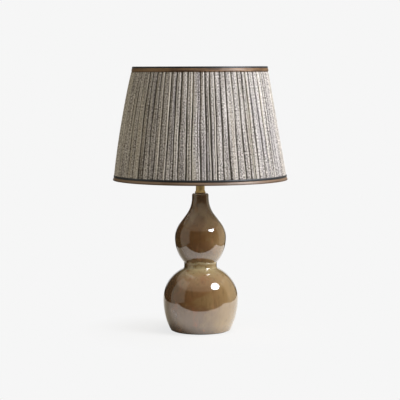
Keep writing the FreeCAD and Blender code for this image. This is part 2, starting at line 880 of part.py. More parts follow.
def harp():
    """One bowed wire with straight legs and a flat bridge that has a pad."""
    body = new_body("harp", cap_seat)
    wire = book.harp_wire_radius
    foot = book.tongue_gap
    leg_top = book.sleeve_fit + book.sleeve_length + book.sleeve_lift + book.harp_leg_spare
    bridge = book.harp_height - book.harp_pad_height / 2
    out_bend, in_bend = book.harp_out_bend.value, book.harp_in_bend.value
    corner = book.harp_top_bend.value
    leg, wide = leg_position.value, book.harp_half_width.value
    cosine = 1 - (wide - leg) / (out_bend + in_bend)
    sine = math.sqrt(1 - cosine ** 2)
    knee = (leg + out_bend * (1 - cosine), leg_top.value + out_bend * sine)
    widest = (wide, leg_top.value + (out_bend + in_bend) * sine)
    crown = bridge.value
    stops = [
        ((leg, foot.value), (leg, leg_top.value), None, None),
        ((leg, leg_top.value), knee, (leg + out_bend, leg_top.value), False),
        (knee, widest, (wide - in_bend, widest[1]), True),
        (widest, (wide, crown - corner), None, None),
        ((wide, crown - corner), (wide - corner, crown), (wide - corner, crown - corner), True),
        ((wide - corner, crown), (corner - wide, crown), None, None),
    ]
    spine = new_sketch(body, "harp_line")
    outline = Outline(spine)
    mirrored = [((-end[0], end[1]), (-start[0], start[1]),
                 None if centre is None else (-centre[0], centre[1]), left)
                for start, end, centre, left in reversed(stops[:-1])]
    for start, end, centre, left in stops + mirrored:
        if centre is None:
            outline.line(start, end)
        else:
            outline.arc(start, end, centre, left)
    count = len(outline.edges)
    for index in range(count - 1):
        outline.join(index, index + 1, smooth=True)
    last = count - 1
    outline.pin_start(0, leg_position, foot)
    outline.pin_start(1, None, leg_top)
    outline.pin_start(3, book.harp_half_width, None)
    outline.pin_start(5, None, bridge)
    outline.radius(1, book.harp_out_bend)
    outline.radius(2, book.harp_in_bend)
    outline.radius(4, book.harp_top_bend)
    outline.radius(6, book.harp_top_bend)
    outline.radius(8, book.harp_in_bend)
    outline.radius(9, book.harp_out_bend)
    outline.rule("Vertical", outline.edges[0][0])
    outline.rule("Horizontal", outline.edges[5][0])
    outline.pin_start(8, -book.harp_half_width, None)
    outline.pin_start(last, -leg_position, leg_top)
    edge, _, tail = outline.edges[last]
    outline.pin(edge, tail, -leg_position, foot)
    section = new_sketch(body, "wire_section", "XY_Plane", lift=foot)
    draw_circle(section, wire, leg_position, ZERO)
    pipe(body, section, spine, count)
    doc.recompute()
    pad_sketch = new_sketch(body, "pad_outline", "XY_Plane",
                            lift=book.harp_height - book.harp_pad_height)
    draw_circle(pad_sketch, book.harp_pad_radius)
    pad(body, pad_sketch, book.harp_pad_height, "bridge_pad")
    return body


def harp_stud():
    """Threaded stud on the bridge; the shade rests on its shoulder."""
    radius, cut = book.stud_radius, book.stud_chamfer
    shoulder, rise = book.stud_shoulder_radius, book.stud_shoulder_height
    top = rise + book.stud_length
    return turned_ring("harp_stud", harp_top, [
        (ZERO, ZERO), (shoulder, ZERO), (shoulder, rise), (radius, rise),
        (radius, top - cut), (radius - cut, top), (ZERO, top)])


shell_radius = book.cap_rim_radius - book.cap_wall - book.shell_fit
liner_radius = shell_radius - book.shell_wall - book.liner_fit
core_radius = liner_radius - book.liner_wall - book.core_fit
screw_shell_bore = book.bulb_cap_radius + book.screw_shell_fit


def socket_cap():
    """Spun cap: threaded hub, rounded shoulder and upright rim."""
    hub, hub_top_level = book.cap_hub_radius, book.cap_hub_height
    rim, high, wall = book.cap_rim_radius, book.cap_height, book.cap_wall
    shoulder, arc = book.cap_shoulder_height, book.cap_shoulder_arc
    return turned_ring("socket_cap", cap_seat, [
        (rod_bore, ZERO), (hub, ZERO), (hub, hub_top_level - wall),
        (rim - arc, shoulder - arc), (rim, shoulder), (rim, high),
        (rim - wall, high), (rim - wall, shoulder), (rim - arc, shoulder - arc + wall),
        (hub - wall, hub_top_level), (hub - wall, book.rod_in_cap),
        (rod_bore, book.rod_in_cap)],
        {3: (arc, True), 7: (arc - wall, False)})


def set_screw():
    """Screw in the side of the hub that locks it to the rod."""
    body = doc.addObject("PartDesign::Body", "socket_cap_screw")
    body.Label = "socket_cap_screw"
    place(body, back=book.cap_hub_radius, height=cap_seat + book.set_screw_height,
          turn=Rotation(Vector(1, 0, 0), -90))
    sketch = new_sketch(body, "head", "XY_Plane")
    draw_circle(sketch, book.set_screw_radius)
    pad(body, sketch, book.set_screw_stand_out)
    slot = new_sketch(body, "slot", "XY_Plane", lift=book.set_screw_stand_out)
    half = book.set_screw_radius / 5
    draw_box(slot, -book.set_screw_radius * 2, book.set_screw_radius * 2, -half, half)
    pocket(body, slot, book.set_screw_stand_out / 2, name="slot_cut")
    return body


def side_hole(body, radius, height, depth, name):
    """Round hole through the front of a turned body."""
    sketch = new_sketch(body, name)
    draw_circle(sketch, radius, ZERO, height)
    return pocket(body, sketch, depth, reverse=True, name=f"{name}_cut")


def socket_shell():
    """Thin brass shell with a rolled rim and a hole for the switch stem."""
    outer, wall = shell_radius, book.shell_wall
    low, high = book.shell_start, book.shell_top
    body = turned_ring("socket_shell", cap_seat, [
        (outer - wall, low), (outer, low), (outer, high), (outer - wall * 2, high),
        (outer - wall * 2, high - wall), (outer - wall, high - wall)])
    side_hole(body, book.stem_radius + book.stem_fit, book.stem_height,
              book.cap_rim_radius, "stem_hole")
    return body


def socket_liner():
    """Fibre sleeve that insulates the shell."""
    outer, wall = liner_radius, book.liner_wall
    body = turned_ring("socket_liner", cap_seat, [
        (outer - wall, book.shell_start), (outer, book.shell_start),
        (outer, book.liner_top), (outer - wall, book.liner_top)])
    side_hole(body, book.stem_radius + book.stem_fit, book.stem_height,
              book.cap_rim_radius, "stem_hole")
    return body


def socket_core():
    """Moulded core that holds the contacts and the switch."""
    body = turned_ring("socket_core", cap_seat, [
        (ZERO, book.core_bottom), (core_radius, book.core_bottom),
        (core_radius, book.core_top), (ZERO, book.core_top)])
    side_hole(body, book.stem_radius + book.stem_fit, book.stem_height,
              book.cap_rim_radius, "stem_hole")
    return body


def screw_shell():
    """Threaded inner shell that the bulb turns in."""
    bore, wall = screw_shell_bore, book.screw_shell_wall
    floor = book.core_top
    return turned_ring("screw_shell", cap_seat, [
        (book.contact_radius * 2, floor), (bore + wall, floor),
        (bore + wall, book.screw_shell_top), (bore, book.screw_shell_top),
        (bore, floor + wall), (book.contact_radius * 2, floor + wall)])


def centre_contact():
    """Brass contact in the middle of the socket."""
    return turned_ring("centre_contact", cap_seat + book.core_top, [
        (ZERO, ZERO), (book.contact_radius, ZERO),
        (book.contact_radius / 2, book.contact_height), (ZERO, book.contact_height)])


def terminal_screws():
    """Two screws under the core, one for each wire."""
    heads = []
    for side in (-1, 1):
        head = doc.addObject("Part::Cylinder", "terminal_head")
        head.Radius = book.terminal_radius.value
        head.Height = book.terminal_height.value
        head.setExpression("Radius", book.terminal_radius.formula)
        head.setExpression("Height", book.terminal_height.formula)
        place(head, across=book.terminal_position * side,
              height=cap_seat + book.core_bottom - book.terminal_height)
        heads.append(head)
    pair = doc.addObject("Part::Compound", "terminal_screws")
    pair.Links = heads
    pair.Label = "terminal_screws"
    return pair


TO_FRONT = Rotation(Vector(1, 0, 0), 90)


def switch_stem():
    """Stem that runs from the core out through the shell to the knob."""
    body = doc.addObject("PartDesign::Body", "switch_stem")
    body.Label = "switch_stem"
    place(body, back=-book.stem_inner_end, height=cap_seat + book.stem_height, turn=TO_FRONT)
    sketch = new_sketch(body, "stem_outline", "XY_Plane")
    draw_circle(sketch, book.stem_radius)
    pad(body, sketch, book.stem_outer_end - book.stem_inner_end)
    return body


def switch_knob():
    """Fluted knob on the end of the stem."""
    body = doc.addObject("PartDesign::Body", "switch_knob")
    body.Label = "switch_knob"
    place(body, back=-book.knob_start, height=cap_seat + book.stem_height, turn=TO_FRONT)
    sketch = new_sketch(body, "knob_section")
    outer, long, edge = book.knob_radius, book.knob_length, book.knob_edge_radius
    depth = book.stem_outer_end - book.knob_start
    bore = book.stem_radius
    draw_loop(sketch, [(bore, ZERO), (outer - edge, ZERO), (outer, edge),
                       (outer, long - edge), (outer - edge, long), (ZERO, long),
                       (ZERO, depth), (bore, depth)],
              {1: (edge, True), 3: (edge, True)})
    revolve(body, sketch)
    flute = new_sketch(body, "flute", "XY_Plane", lift=long)
    draw_circle(flute, book.knob_flute_radius, outer + book.knob_flute_radius / 2)
    cut = pocket(body, flute, long - edge * 2, name="flute_cut")
    polar(body, cut, book.knob_flute_count)
    return body


# Heights of the bulb's parts, from its tip upwards.
bulb_foot = cap_seat + book.core_top + book.contact_height + book.bulb_contact_gap
cap_foot = bulb_foot + book.bulb_contact_height + book.bulb_insulator_height
glass_foot = cap_foot + book.bulb_cap_height
glass_seat = book.bulb_cap_radius - book.thread_depth - book.bulb_cap_wall - book.weld_gap
mount_foot = glass_foot - book.glass_skirt


def bulb_contact():
    """Solder tip at the bottom of the bulb."""
    wide, high = book.bulb_contact_radius, book.bulb_contact_height
    return turned_ring("bulb_contact", bulb_foot, [
        (ZERO, ZERO), (wide / 2, ZERO), (wide, high), (ZERO, high)])


def bulb_insulator():
    """Glass insulator between the tip and the screw cap."""
    wide, high = book.bulb_insulator_radius, book.bulb_insulator_height
    return turned_ring("bulb_insulator", bulb_foot + book.bulb_contact_height, [
        (ZERO, ZERO), (book.bulb_contact_radius, ZERO), (wide, high), (ZERO, high)])


def bulb_cap():
    """Rolled screw cap, its thread drawn as rounded ribs."""
    outer, wall = book.bulb_cap_radius, book.bulb_cap_wall
    high, pitch, deep = book.bulb_cap_height, book.thread_pitch, book.thread_depth
    core = outer - deep
    half = pitch / 2
    arc = (deep * deep + half * half) / (deep * 2)
    points = [(core - wall, ZERO), (core, ZERO)]
    curves = {}
    start = (high - pitch * book.thread_count) / 2
    for turn in range(int(book.thread_count.value)):
        level = start + pitch * turn
        points.append((core, level))
        curves[len(points) - 1] = (arc, True)
        points.append((outer, level + half))
        curves[len(points) - 1] = (arc, True)
    points.append((core, start + pitch * book.thread_count))
    points.append((core, high))
    points.append((core - wall, high))
    return turned_ring("bulb_cap", cap_foot, points, curves)


def bulb_glass():
    """Blown bulb: short neck, hollow flare and a ball."""
    neck, ball = book.glass_neck_radius, book.glass_ball_radius
    flare, low = book.glass_flare_arc, book.glass_neck_height
    wall, tip = book.glass_wall, book.glass_tip_radius
    total = ball + flare
    spread = neck + flare
    centre = low + root(total * total - spread * spread)

    def touch(inset):
        """Where the ball meets the flare on a surface drawn in by the inset."""
        share = (ball - inset) / total
        return (spread * share, centre - (centre - low) * share)

    def crown(inset):
        """Height of the small flat tip on that surface."""
        inner = ball - inset
        return centre + root(inner * inner - tip * tip)

    seat = glass_seat
    skirt = -book.glass_skirt
    return turned_ring("bulb_glass", glass_foot, [
        (seat - wall, skirt), (seat, skirt), (seat, ZERO), (neck, wall), (neck, low),
        touch(ZERO), (ball, centre), (tip, crown(ZERO)), (ZERO, crown(ZERO)),
        (ZERO, crown(wall)), (tip, crown(wall)), (ball - wall, centre), touch(wall),
        (neck - wall, low), (neck - wall, wall * 2), (seat - wall, wall)],
        {4: (flare, False), 5: (ball, True), 6: (ball, True),
         10: (ball - wall, False), 11: (ball - wall, False), 12: (flare + wall, True)})


def bulb_mount():
    """Glass mount that carries the filament."""
    wide, narrow, high = book.mount_radius, book.mount_top_radius, book.mount_height
    skirt = glass_seat - book.glass_wall - book.weld_gap
    return turned_ring("bulb_mount", mount_foot, [
        (ZERO, ZERO), (skirt, ZERO), (wide, wide), (narrow, high), (ZERO, high)])


def bulb_filament():
    """Lead wires and filament as one bent wire over the mount."""
    foot = mount_foot + book.mount_height + book.filament_radius + book.weld_gap
    body = new_body("bulb_filament", foot)
    half, rise, bend = book.filament_half_span, book.filament_rise, book.filament_bend
    root_spot = book.mount_top_radius / 2
    lean = math.atan2(rise.value, (half - root_spot).value)
    setback = bend.value / math.tan(lean / 2)
    low = (root_spot.value, 0.0)
    near = (half.value - setback * math.cos(lean), rise.value - setback * math.sin(lean))
    over = (half.value - setback, rise.value)
    centre = (over[0], over[1] - bend.value)
    spine = new_sketch(body, "lead_line")
    outline = Outline(spine)
    outline.line(low, near)
    outline.arc(near, over, centre, True)
    outline.line(over, (-over[0], over[1]))
    outline.arc((-over[0], over[1]), (-near[0], near[1]), (-centre[0], centre[1]), True)
    outline.line((-near[0], near[1]), (-low[0], low[1]))
    last = len(outline.edges) - 1
    for index in range(last):
        outline.join(index, index + 1, smooth=True)
    outline.pin_start(0, root_spot, ZERO)
    outline.pin_start(2, None, rise)
    outline.rule("Horizontal", outline.edges[2][0])
    outline.radius(1, bend)
    outline.radius(3, bend)
    leg, _, tail = outline.edges[last]
    outline.pin(leg, tail, -root_spot, ZERO)
    for side, edge in ((half, outline.edges[0][0]), (-half, leg)):
        apex = spine.addGeometry(Part.Point(Vector(side.value, rise.value)), True)
        outline.pin(apex, START, side, rise)
        outline.rule("PointOnObject", apex, START, edge)
    section = new_sketch(body, "filament_section", "XY_Plane")
    draw_circle(section, book.filament_radius, root_spot)
    pipe(body, section, spine, len(outline.edges))
    return body


def cone_radius(height):
    """Radius of the pleats' ridges at a height above the cover's lower edge."""
    fall = (book.cover_bottom_radius - book.cover_top_radius) / book.cover_height
    return book.cover_bottom_radius - fall * height


def cone_slant():
    """Length along the cone for one unit of height."""
    fall = (book.cover_bottom_radius - book.cover_top_radius) / book.cover_height
    return root(fall * fall + 1)


liner_outside = book.cover_depth + book.liner_gap
liner_inside = liner_outside + book.liner_thickness
ring_offset = liner_inside + (book.ring_wire_radius + book.ring_gap) * cone_slant()
top_ring_level = book.cover_height - book.ring_inset
arm_root = book.finial_base_radius + book.arm_finial_gap
hub_radius = arm_root + book.arm_weld
top_ring_radius = cone_radius(top_ring_level) - ring_offset
bottom_ring_radius = cone_radius(book.ring_inset) - ring_offset


def spider():
    """Hub washer with wire arms that rise to the top ring."""
    body = new_body("spider", hub_seat)
    sketch = new_sketch(body, "hub_outline", "XY_Plane")
    draw_circle(sketch, hub_radius)
    draw_circle(sketch, book.stud_radius + book.hub_fit)
    pad(body, sketch, book.hub_thickness, "hub_pad")
    level = book.hub_thickness / 2
    bend, begin = book.arm_bend_radius.value, book.arm_bend_start.value
    target = (top_ring_radius.value,
              (cover_foot + top_ring_level - hub_seat).value)
    centre = (begin, level.value + bend)
    away = (target[0] - centre[0], target[1] - centre[1])
    straight = math.sqrt(away[0] ** 2 + away[1] ** 2 - bend ** 2)
    lean = math.atan2(away[1], away[0]) + math.atan2(bend, straight)
    turn_end = (centre[0] + bend * math.sin(lean), centre[1] - bend * math.cos(lean))
    reach = book.ring_wire_radius + book.weld_gap
    tip = (target[0] - reach.value * math.cos(lean), target[1] - reach.value * math.sin(lean))
    spine = new_sketch(body, "arm_line")
    outline = Outline(spine)
    outline.line((arm_root.value, level.value), (begin, level.value))
    outline.arc((begin, level.value), turn_end, centre, True)
    outline.line(turn_end, tip)
    outline.join(0, 1, smooth=True)
    outline.join(1, 2, smooth=True)
    outline.pin_start(0, arm_root, level)
    outline.pin_start(1, book.arm_bend_start, level)
    outline.radius(1, book.arm_bend_radius)
    ring_spot = spine.addGeometry(Part.Point(Vector(*target)), True)
    outline.pin(ring_spot, START, top_ring_radius, cover_foot + top_ring_level - hub_seat)
    arm_end, _, tail = outline.edges[2]
    outline.rule("PointOnObject", ring_spot, START, arm_end)
    outline.dimension("Distance", reach, arm_end, tail, ring_spot, START)
    section = new_sketch(body, "arm_section", "YZ_Plane", lift=arm_root)
    draw_circle(section, book.arm_wire_radius, ZERO, level)
    arm = pipe(body, section, spine, len(outline.edges), "arm")
    doc.recompute()
    polar(body, arm, book.arm_count, "arms")
    return body


def wire_ring(label, radius, level):
    """Wire ring of the shade's frame."""
    ring = doc.addObject("Part::Torus", label)
    ring.Label = label
    ring.Radius1 = radius.value
    ring.Radius2 = book.ring_wire_radius.value
    ring.setExpression("Radius1", radius.formula)
    ring.setExpression("Radius2", book.ring_wire_radius.formula)
    place(ring, height=cover_foot + level)
    return ring


def shade_liner():
    """Stiff liner that the pleated cover is mounted on."""
    high = book.cover_height
    low_radius, top_radius = cone_radius(ZERO), cone_radius(high)
    return turned_ring("shade_liner", cover_foot, [
        (low_radius - liner_inside, ZERO), (low_radius - liner_outside, ZERO),
        (top_radius - liner_outside, high), (top_radius - liner_inside, high)])


def pleat_corners(ridge_radius):
    """Corners of the cover's pleated edge for one ridge radius.

    Each pleat is a broad flat ridge between narrow valleys.  The valleys' places
    drift with two sines, because the cloth is folded by hand.  Every depth is a
    share of the radius, so that the sides of the folds stay flat on the cone.
    """
    count = int(book.pleat_count.value)
    pitch = 2 * math.pi / count
    share = book.pleat_valley_share.value
    drift = book.pleat_unevenness.value * pitch
    valley = ridge_radius * (1 - book.pleat_depth.value / book.cover_bottom_radius.value)
    long_wave, short_wave = 5, 23
    places = []
    for number in range(count):
        angle = number * pitch
        sway = math.sin(long_wave * angle) + math.cos(short_wave * angle)
        places.append(angle + drift * sway)
    corners = []
    for number, start in enumerate(places):
        end = places[number + 1] if number + 1 < count else places[0] + 2 * math.pi
        width = end - start
        for radius, angle in ((valley, start),
                              (ridge_radius, start + width * share),
                              (ridge_radius, end - width * share)):
            corners.append((radius * math.cos(angle), radius * math.sin(angle)))
    return corners


def shade_fabric():
    """Pleated linen cover: a ruled loft between two pleated edges, hollowed."""
    high = book.cover_height.value
    edges = []
    for radius, level in ((book.cover_bottom_radius.value, 0.0),
                          (book.cover_top_radius.value, high)):
        corners = [Vector(x, y, level) for x, y in pleat_corners(radius)]
        edges.append(Part.makePolygon(corners + corners[:1]))
    outside = Part.makeLoft(edges, True, True)
    depth = book.cover_depth.value
    inside = Part.makeCone(book.cover_bottom_radius.value - depth,
                           book.cover_top_radius.value - depth, high)
    cover = doc.addObject("Part::Feature", "shade_fabric")
    cover.Label = "shade_fabric"
    cover.Shape = outside.cut(inside)
    place(cover, height=cover_foot)
    return cover


def tape(label, edge_level, span, outward):
    """Silk tape over an edge of the shade: a leg outside and a web across it.

    outward is +1 at the top edge and -1 at the bottom edge.
    """
    thick, gap = book.tape_thickness, book.tape_gap
    web_near = edge_level + gap * outward
    web_far = web_near + thick * outward
    leg_end = edge_level - span * outward
    inner = cone_radius(edge_level) - liner_inside
    outside = gap + thick
    points = [
        (inner, web_near), (cone_radius(web_near) + gap, web_near),
        (cone_radius(leg_end) + gap, leg_end), (cone_radius(leg_end) + outside, leg_end),
        (cone_radius(web_far) + outside, web_far), (inner, web_far)]
    return turned_ring(label, cover_foot, points)


def top_piping():
    """Navy cord sewn round the top edge."""
    ring = doc.addObject("Part::Torus", "top_piping")
    ring.Label = "top_piping"
    level = book.cover_height + book.tape_gap * 2 + book.tape_thickness + book.piping_radius
    radius = book.cover_top_radius - book.piping_radius / 2
    ring.Radius1 = radius.value
    ring.Radius2 = book.piping_radius.value
    ring.setExpression("Radius1", radius.formula)
    ring.setExpression("Radius2", book.piping_radius.formula)
    place(ring, height=cover_foot + level)
    return ring


def bottom_piping():
    """Navy band that runs above the bottom tape."""
    low = book.bottom_tape_height + book.navy_band_gap
    high = low + book.navy_band_height
    near = book.tape_gap
    far = near + book.navy_band_thickness
    edge = book.navy_band_thickness / 2
    return turned_ring("bottom_piping", cover_foot, [
        (cone_radius(low) + near, low), (cone_radius(low) + far - edge, low),
        (cone_radius(low + edge) + far, low + edge),
        (cone_radius(high - edge) + far, high - edge),
        (cone_radius(high) + far - edge, high), (cone_radius(high) + near, high)])


def finial():
    """Turned knob that clamps the shade's hub to the stud."""
    base, base_high = book.finial_base_radius, book.finial_base_height
    neck, neck_high = book.finial_neck_radius, book.finial_neck_height
    ball, ball_level = book.finial_ball_radius, book.finial_ball_height
    tip, top = book.finial_tip_radius, book.finial_tip_height
    bore = book.stud_radius + book.hub_fit
    depth = book.stud_length - book.hub_thickness + book.finial_bore_spare
    cove_run = base - neck
    cove_rise = neck_high - base_high
    cove = (cove_run * cove_run + cove_rise * cove_rise) / (cove_run * 2)
    lower = ball_level - root(ball * ball - neck * neck)
    upper = ball_level + root(ball * ball - tip * tip)
    return turned_ring("finial", hub_top, [
        (bore, ZERO), (base, ZERO), (base, base_high), (neck, neck_high),
        (neck, lower), (ball, ball_level), (tip, upper), (tip, top), (ZERO, top),
        (ZERO, depth), (bore, depth)],
        {2: (cove, False), 4: (ball, True), 5: (ball, True)})


ring_bore = rod_bore
sub_parts = [
    foot_felt(),
    ceramic_body(),
    threaded_rod(),
    washer("bottom_washer", washer_seat, book.washer_radius, ring_bore, book.washer_thickness),
    lock_washer(),
    bottom_nut(),
    cord_grommet(),
    washer("neck_gasket", ceramic_top, book.gasket_radius, ring_bore, book.gasket_thickness),
    brass_neck(),
    harp_saddle(),
    harp_sleeve("harp_sleeve_left", -1),
    harp_sleeve("harp_sleeve_right", 1),
    harp(),
    harp_stud(),
    socket_cap(),
    set_screw(),
    socket_shell(),
    socket_liner(),
    socket_core(),
    screw_shell(),
    centre_contact(),
    terminal_screws(),
    switch_stem(),
    switch_knob(),
    bulb_contact(),
    bulb_insulator(),
    bulb_cap(),
    bulb_glass(),
    bulb_mount(),
    bulb_filament(),
    spider(),
    wire_ring("shade_top_ring", top_ring_radius, top_ring_level),
    wire_ring("shade_bottom_ring", bottom_ring_radius, book.ring_inset),
    shade_liner(),
    shade_fabric(),
    tape("top_binding", book.cover_height, book.top_tape_height, 1),
    top_piping(),
    tape("bottom_binding", ZERO, book.bottom_tape_height, -1),
    bottom_piping(),
    finial(),
]
doc.recompute()

for item in doc.Objects:
    if "Invalid" in item.State or "Error" in item.State:
        raise RuntimeError(f"{item.Name} failed: {item.State}")
for item in sub_parts:
    if item.Shape.isNull() or not item.Shape.isValid() or not item.Shape.Solids:
        raise RuntimeError(f"{item.Label} has no valid solid")

os.makedirs("parts", exist_ok=True)
for item in sub_parts:
    item.Shape.exportStep(f"parts/{item.Label}.step")
    box = item.Shape.BoundBox
    print(f"{item.Label}: {len(item.Shape.Solids)} solid, "
          f"{item.Shape.Volume:.1f} mm3, z {box.ZMin:.2f} to {box.ZMax:.2f}")
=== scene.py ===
# %% [markdown]
# # Table lamp with a double gourd body
#
# The lamp has a glazed ceramic body shaped like two gourds on top of each other,
# a short brass neck, and a tapered shade of gathered linen with two tone silk
# tape round both edges.  The construction model gives every part its place.
# Here the parts that carry the looks get finer shapes, and every part gets a
# finish made of nodes.  +Z is up and the front faces -Y.  Sizes are in metres,
# but outlines that are turned are drawn in millimetres first.

# %% Load the frame
import math

import bpy
import numpy as np
from mathutils import Euler, Matrix


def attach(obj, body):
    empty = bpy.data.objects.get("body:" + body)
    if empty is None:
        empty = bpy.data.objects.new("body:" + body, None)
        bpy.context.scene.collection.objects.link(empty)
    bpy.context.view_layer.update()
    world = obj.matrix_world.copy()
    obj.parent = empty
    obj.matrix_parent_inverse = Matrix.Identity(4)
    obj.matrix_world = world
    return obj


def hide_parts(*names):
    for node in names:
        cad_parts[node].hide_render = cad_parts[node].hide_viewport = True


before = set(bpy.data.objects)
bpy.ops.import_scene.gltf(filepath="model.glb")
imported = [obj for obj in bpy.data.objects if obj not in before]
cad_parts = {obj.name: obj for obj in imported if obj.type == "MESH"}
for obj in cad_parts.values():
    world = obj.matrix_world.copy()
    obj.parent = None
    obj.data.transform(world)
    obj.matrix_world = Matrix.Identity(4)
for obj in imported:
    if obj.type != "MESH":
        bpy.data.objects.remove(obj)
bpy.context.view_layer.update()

# %% [markdown]
# ## The camera
#
# The camera is level with the shade's top edge and about three metres away, and
# looks slightly down, so the shade's bottom edge curves more than its top edge.
# A long lens keeps that gentle perspective.

# %% Camera
PLACE, TILT_DOWN, ROLL = (0.0002, -3.225, 0.5456), 0.085, 0.0029
camera_data = bpy.data.cameras.new("camera")
camera_data.lens = 141.4
camera_data.sensor_width = 36.0
camera = bpy.data.objects.new("camera", camera_data)
camera.location = PLACE
camera.rotation_euler = (math.pi / 2 - TILT_DOWN, ROLL, 0.0)
bpy.context.scene.collection.objects.link(camera)
bpy.context.scene.camera = camera
bpy.context.scene.view_settings.view_transform = "Standard"
print("camera height:", camera.location.z)

# %% [markdown]
# ## Writing finishes as sums
#
# A finish is a small net of nodes.  Wiring each one by hand hides the idea, so a
# `Wire` stands for one output socket, and a sum written with wires adds the
# matching Math nodes.  `Finish` is a material under construction: its `node`
# method adds any other node, with its settings first and its sockets after.

# %% Wires and finishes
class Wire:
    """One output socket of a finish; arithmetic on it adds Math nodes."""

    def __init__(self, finish, socket):
        self.finish = finish
        self.socket = socket

    def sum(self, operation, first, second):
        settings = {"operation": operation}
        return self.finish.node("ShaderNodeMath", settings, {0: first, 1: second})

    def __add__(self, other):
        return self.sum("ADD", self, other)

    def __radd__(self, other):
        return self.sum("ADD", other, self)

    def __sub__(self, other):
        return self.sum("SUBTRACT", self, other)

    def __rsub__(self, other):
        return self.sum("SUBTRACT", other, self)

    def __mul__(self, other):
        return self.sum("MULTIPLY", self, other)

    def __truediv__(self, other):
        return self.sum("DIVIDE", self, other)

    def __pow__(self, other):
        return self.sum("POWER", self, other)

    def step(self, low, high):
        """0 below low, 1 above high, and a soft slope between them."""
        return self.finish.node(
            "ShaderNodeMapRange",
            {"interpolation_type": "SMOOTHSTEP"},
            {"Value": self, "From Min": low, "From Max": high},
        )


class Finish:
    """A material under construction, with one Principled shader."""

    def __init__(self, name, **sockets):
        self.material = bpy.data.materials.new(name)
        self.material.use_nodes = True
        self.nodes = self.material.node_tree.nodes
        self.links = self.material.node_tree.links
        self.shader = self.nodes["Principled BSDF"]
        self.set(**sockets)

    def fill(self, socket, value):
        """Put a wire, a colour or a number into a socket."""
        if isinstance(value, Wire):
            self.links.new(value.socket, socket)
        elif isinstance(value, tuple) and socket.type == "RGBA":
            socket.default_value = (*value, 1.0)
        else:
            socket.default_value = value

    def set(self, **sockets):
        """Fill sockets of the shader, named with _ for each space."""
        for name, value in sockets.items():
            self.fill(self.shader.inputs[name.replace("_", " ")], value)

    def node(self, kind, settings=None, sockets=None, take=0):
        """Add a node; take is the output wanted, by number or by name."""
        made = self.nodes.new(kind)
        for name, value in (settings or {}).items():
            if name == "stops":
                self.lay_stops(made.color_ramp, value)
            else:
                setattr(made, name, value)
        for name, value in (sockets or {}).items():
            self.fill(made.inputs[name], value)
        return Wire(self, made.outputs[take])

    def lay_stops(self, ramp, stops):
        """Give a colour ramp its stops, each a place and a colour."""
        while len(ramp.elements) < len(stops):
            ramp.elements.new(0.5)
        for element, (place, colour) in zip(ramp.elements, stops):
            element.position = place
            element.color = (*colour, 1.0)

    def place(self, scale=(1.0, 1.0, 1.0)):
        """Object coordinates in metres, stretched by a scale."""
        raw = self.node("ShaderNodeTexCoord", take="Object")
        return self.node("ShaderNodeMapping", {}, {"Vector": raw, "Scale": scale})

    def height(self):
        """Height above the table in metres."""
        raw = self.node("ShaderNodeTexCoord", take="Object")
        return self.node("ShaderNodeSeparateXYZ", {}, {0: raw}, take="Z")

    def noise(self, place, scale, detail=2.0, roughness=0.5, twist=0.0):
        """Cloudy noise from about 0 to 1, scale to the metre."""
        return self.node(
            "ShaderNodeTexNoise",
            {},
            {
                "Vector": place,
                "Scale": scale,
                "Detail": detail,
                "Roughness": roughness,
                "Distortion": twist,
            },
        )

    def mix(self, share, first, second):
        """Blend two colours; share 0 is the first and 1 the second."""
        made = self.nodes.new("ShaderNodeMix")
        made.data_type = "RGBA"
        colours = [socket for socket in made.inputs if socket.type == "RGBA"]
        self.fill(made.inputs[0], share)
        self.fill(colours[0], first)
        self.fill(colours[1], second)
        result = [socket for socket in made.outputs if socket.type == "RGBA"]
        return Wire(self, result[0])

    def ramp(self, value, stops):
        """Colour along a value."""
        return self.node("ShaderNodeValToRGB", {"stops": stops}, {0: value})

    def bump(self, height, strength, distance):
        """Bump of a height from 0 to 1, that many metres deep."""
        made = self.node(
            "ShaderNodeBump",
            {},
            {"Height": height, "Strength": strength, "Distance": distance},
        )
        self.set(Normal=made)


def dress(finish, *names):
    """Give the named parts of the construction model one finish."""
    for name in names:
        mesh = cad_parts[name].data
        mesh.materials.clear()
        mesh.materials.append(finish.material)
    print(finish.material.name, "on", ", ".join(names))


# %% [markdown]
# ## Surfaces from numbers
#
# Every new piece is a grid of points worked out with numpy.  Rows run one way
# over the surface and columns the other.  A grid that closes on itself both ways
# is a ring, and that is what a turned wall, a tape and a pleated cover all are.
# The signed volume tells whether the faces point outwards, and turns them if not.

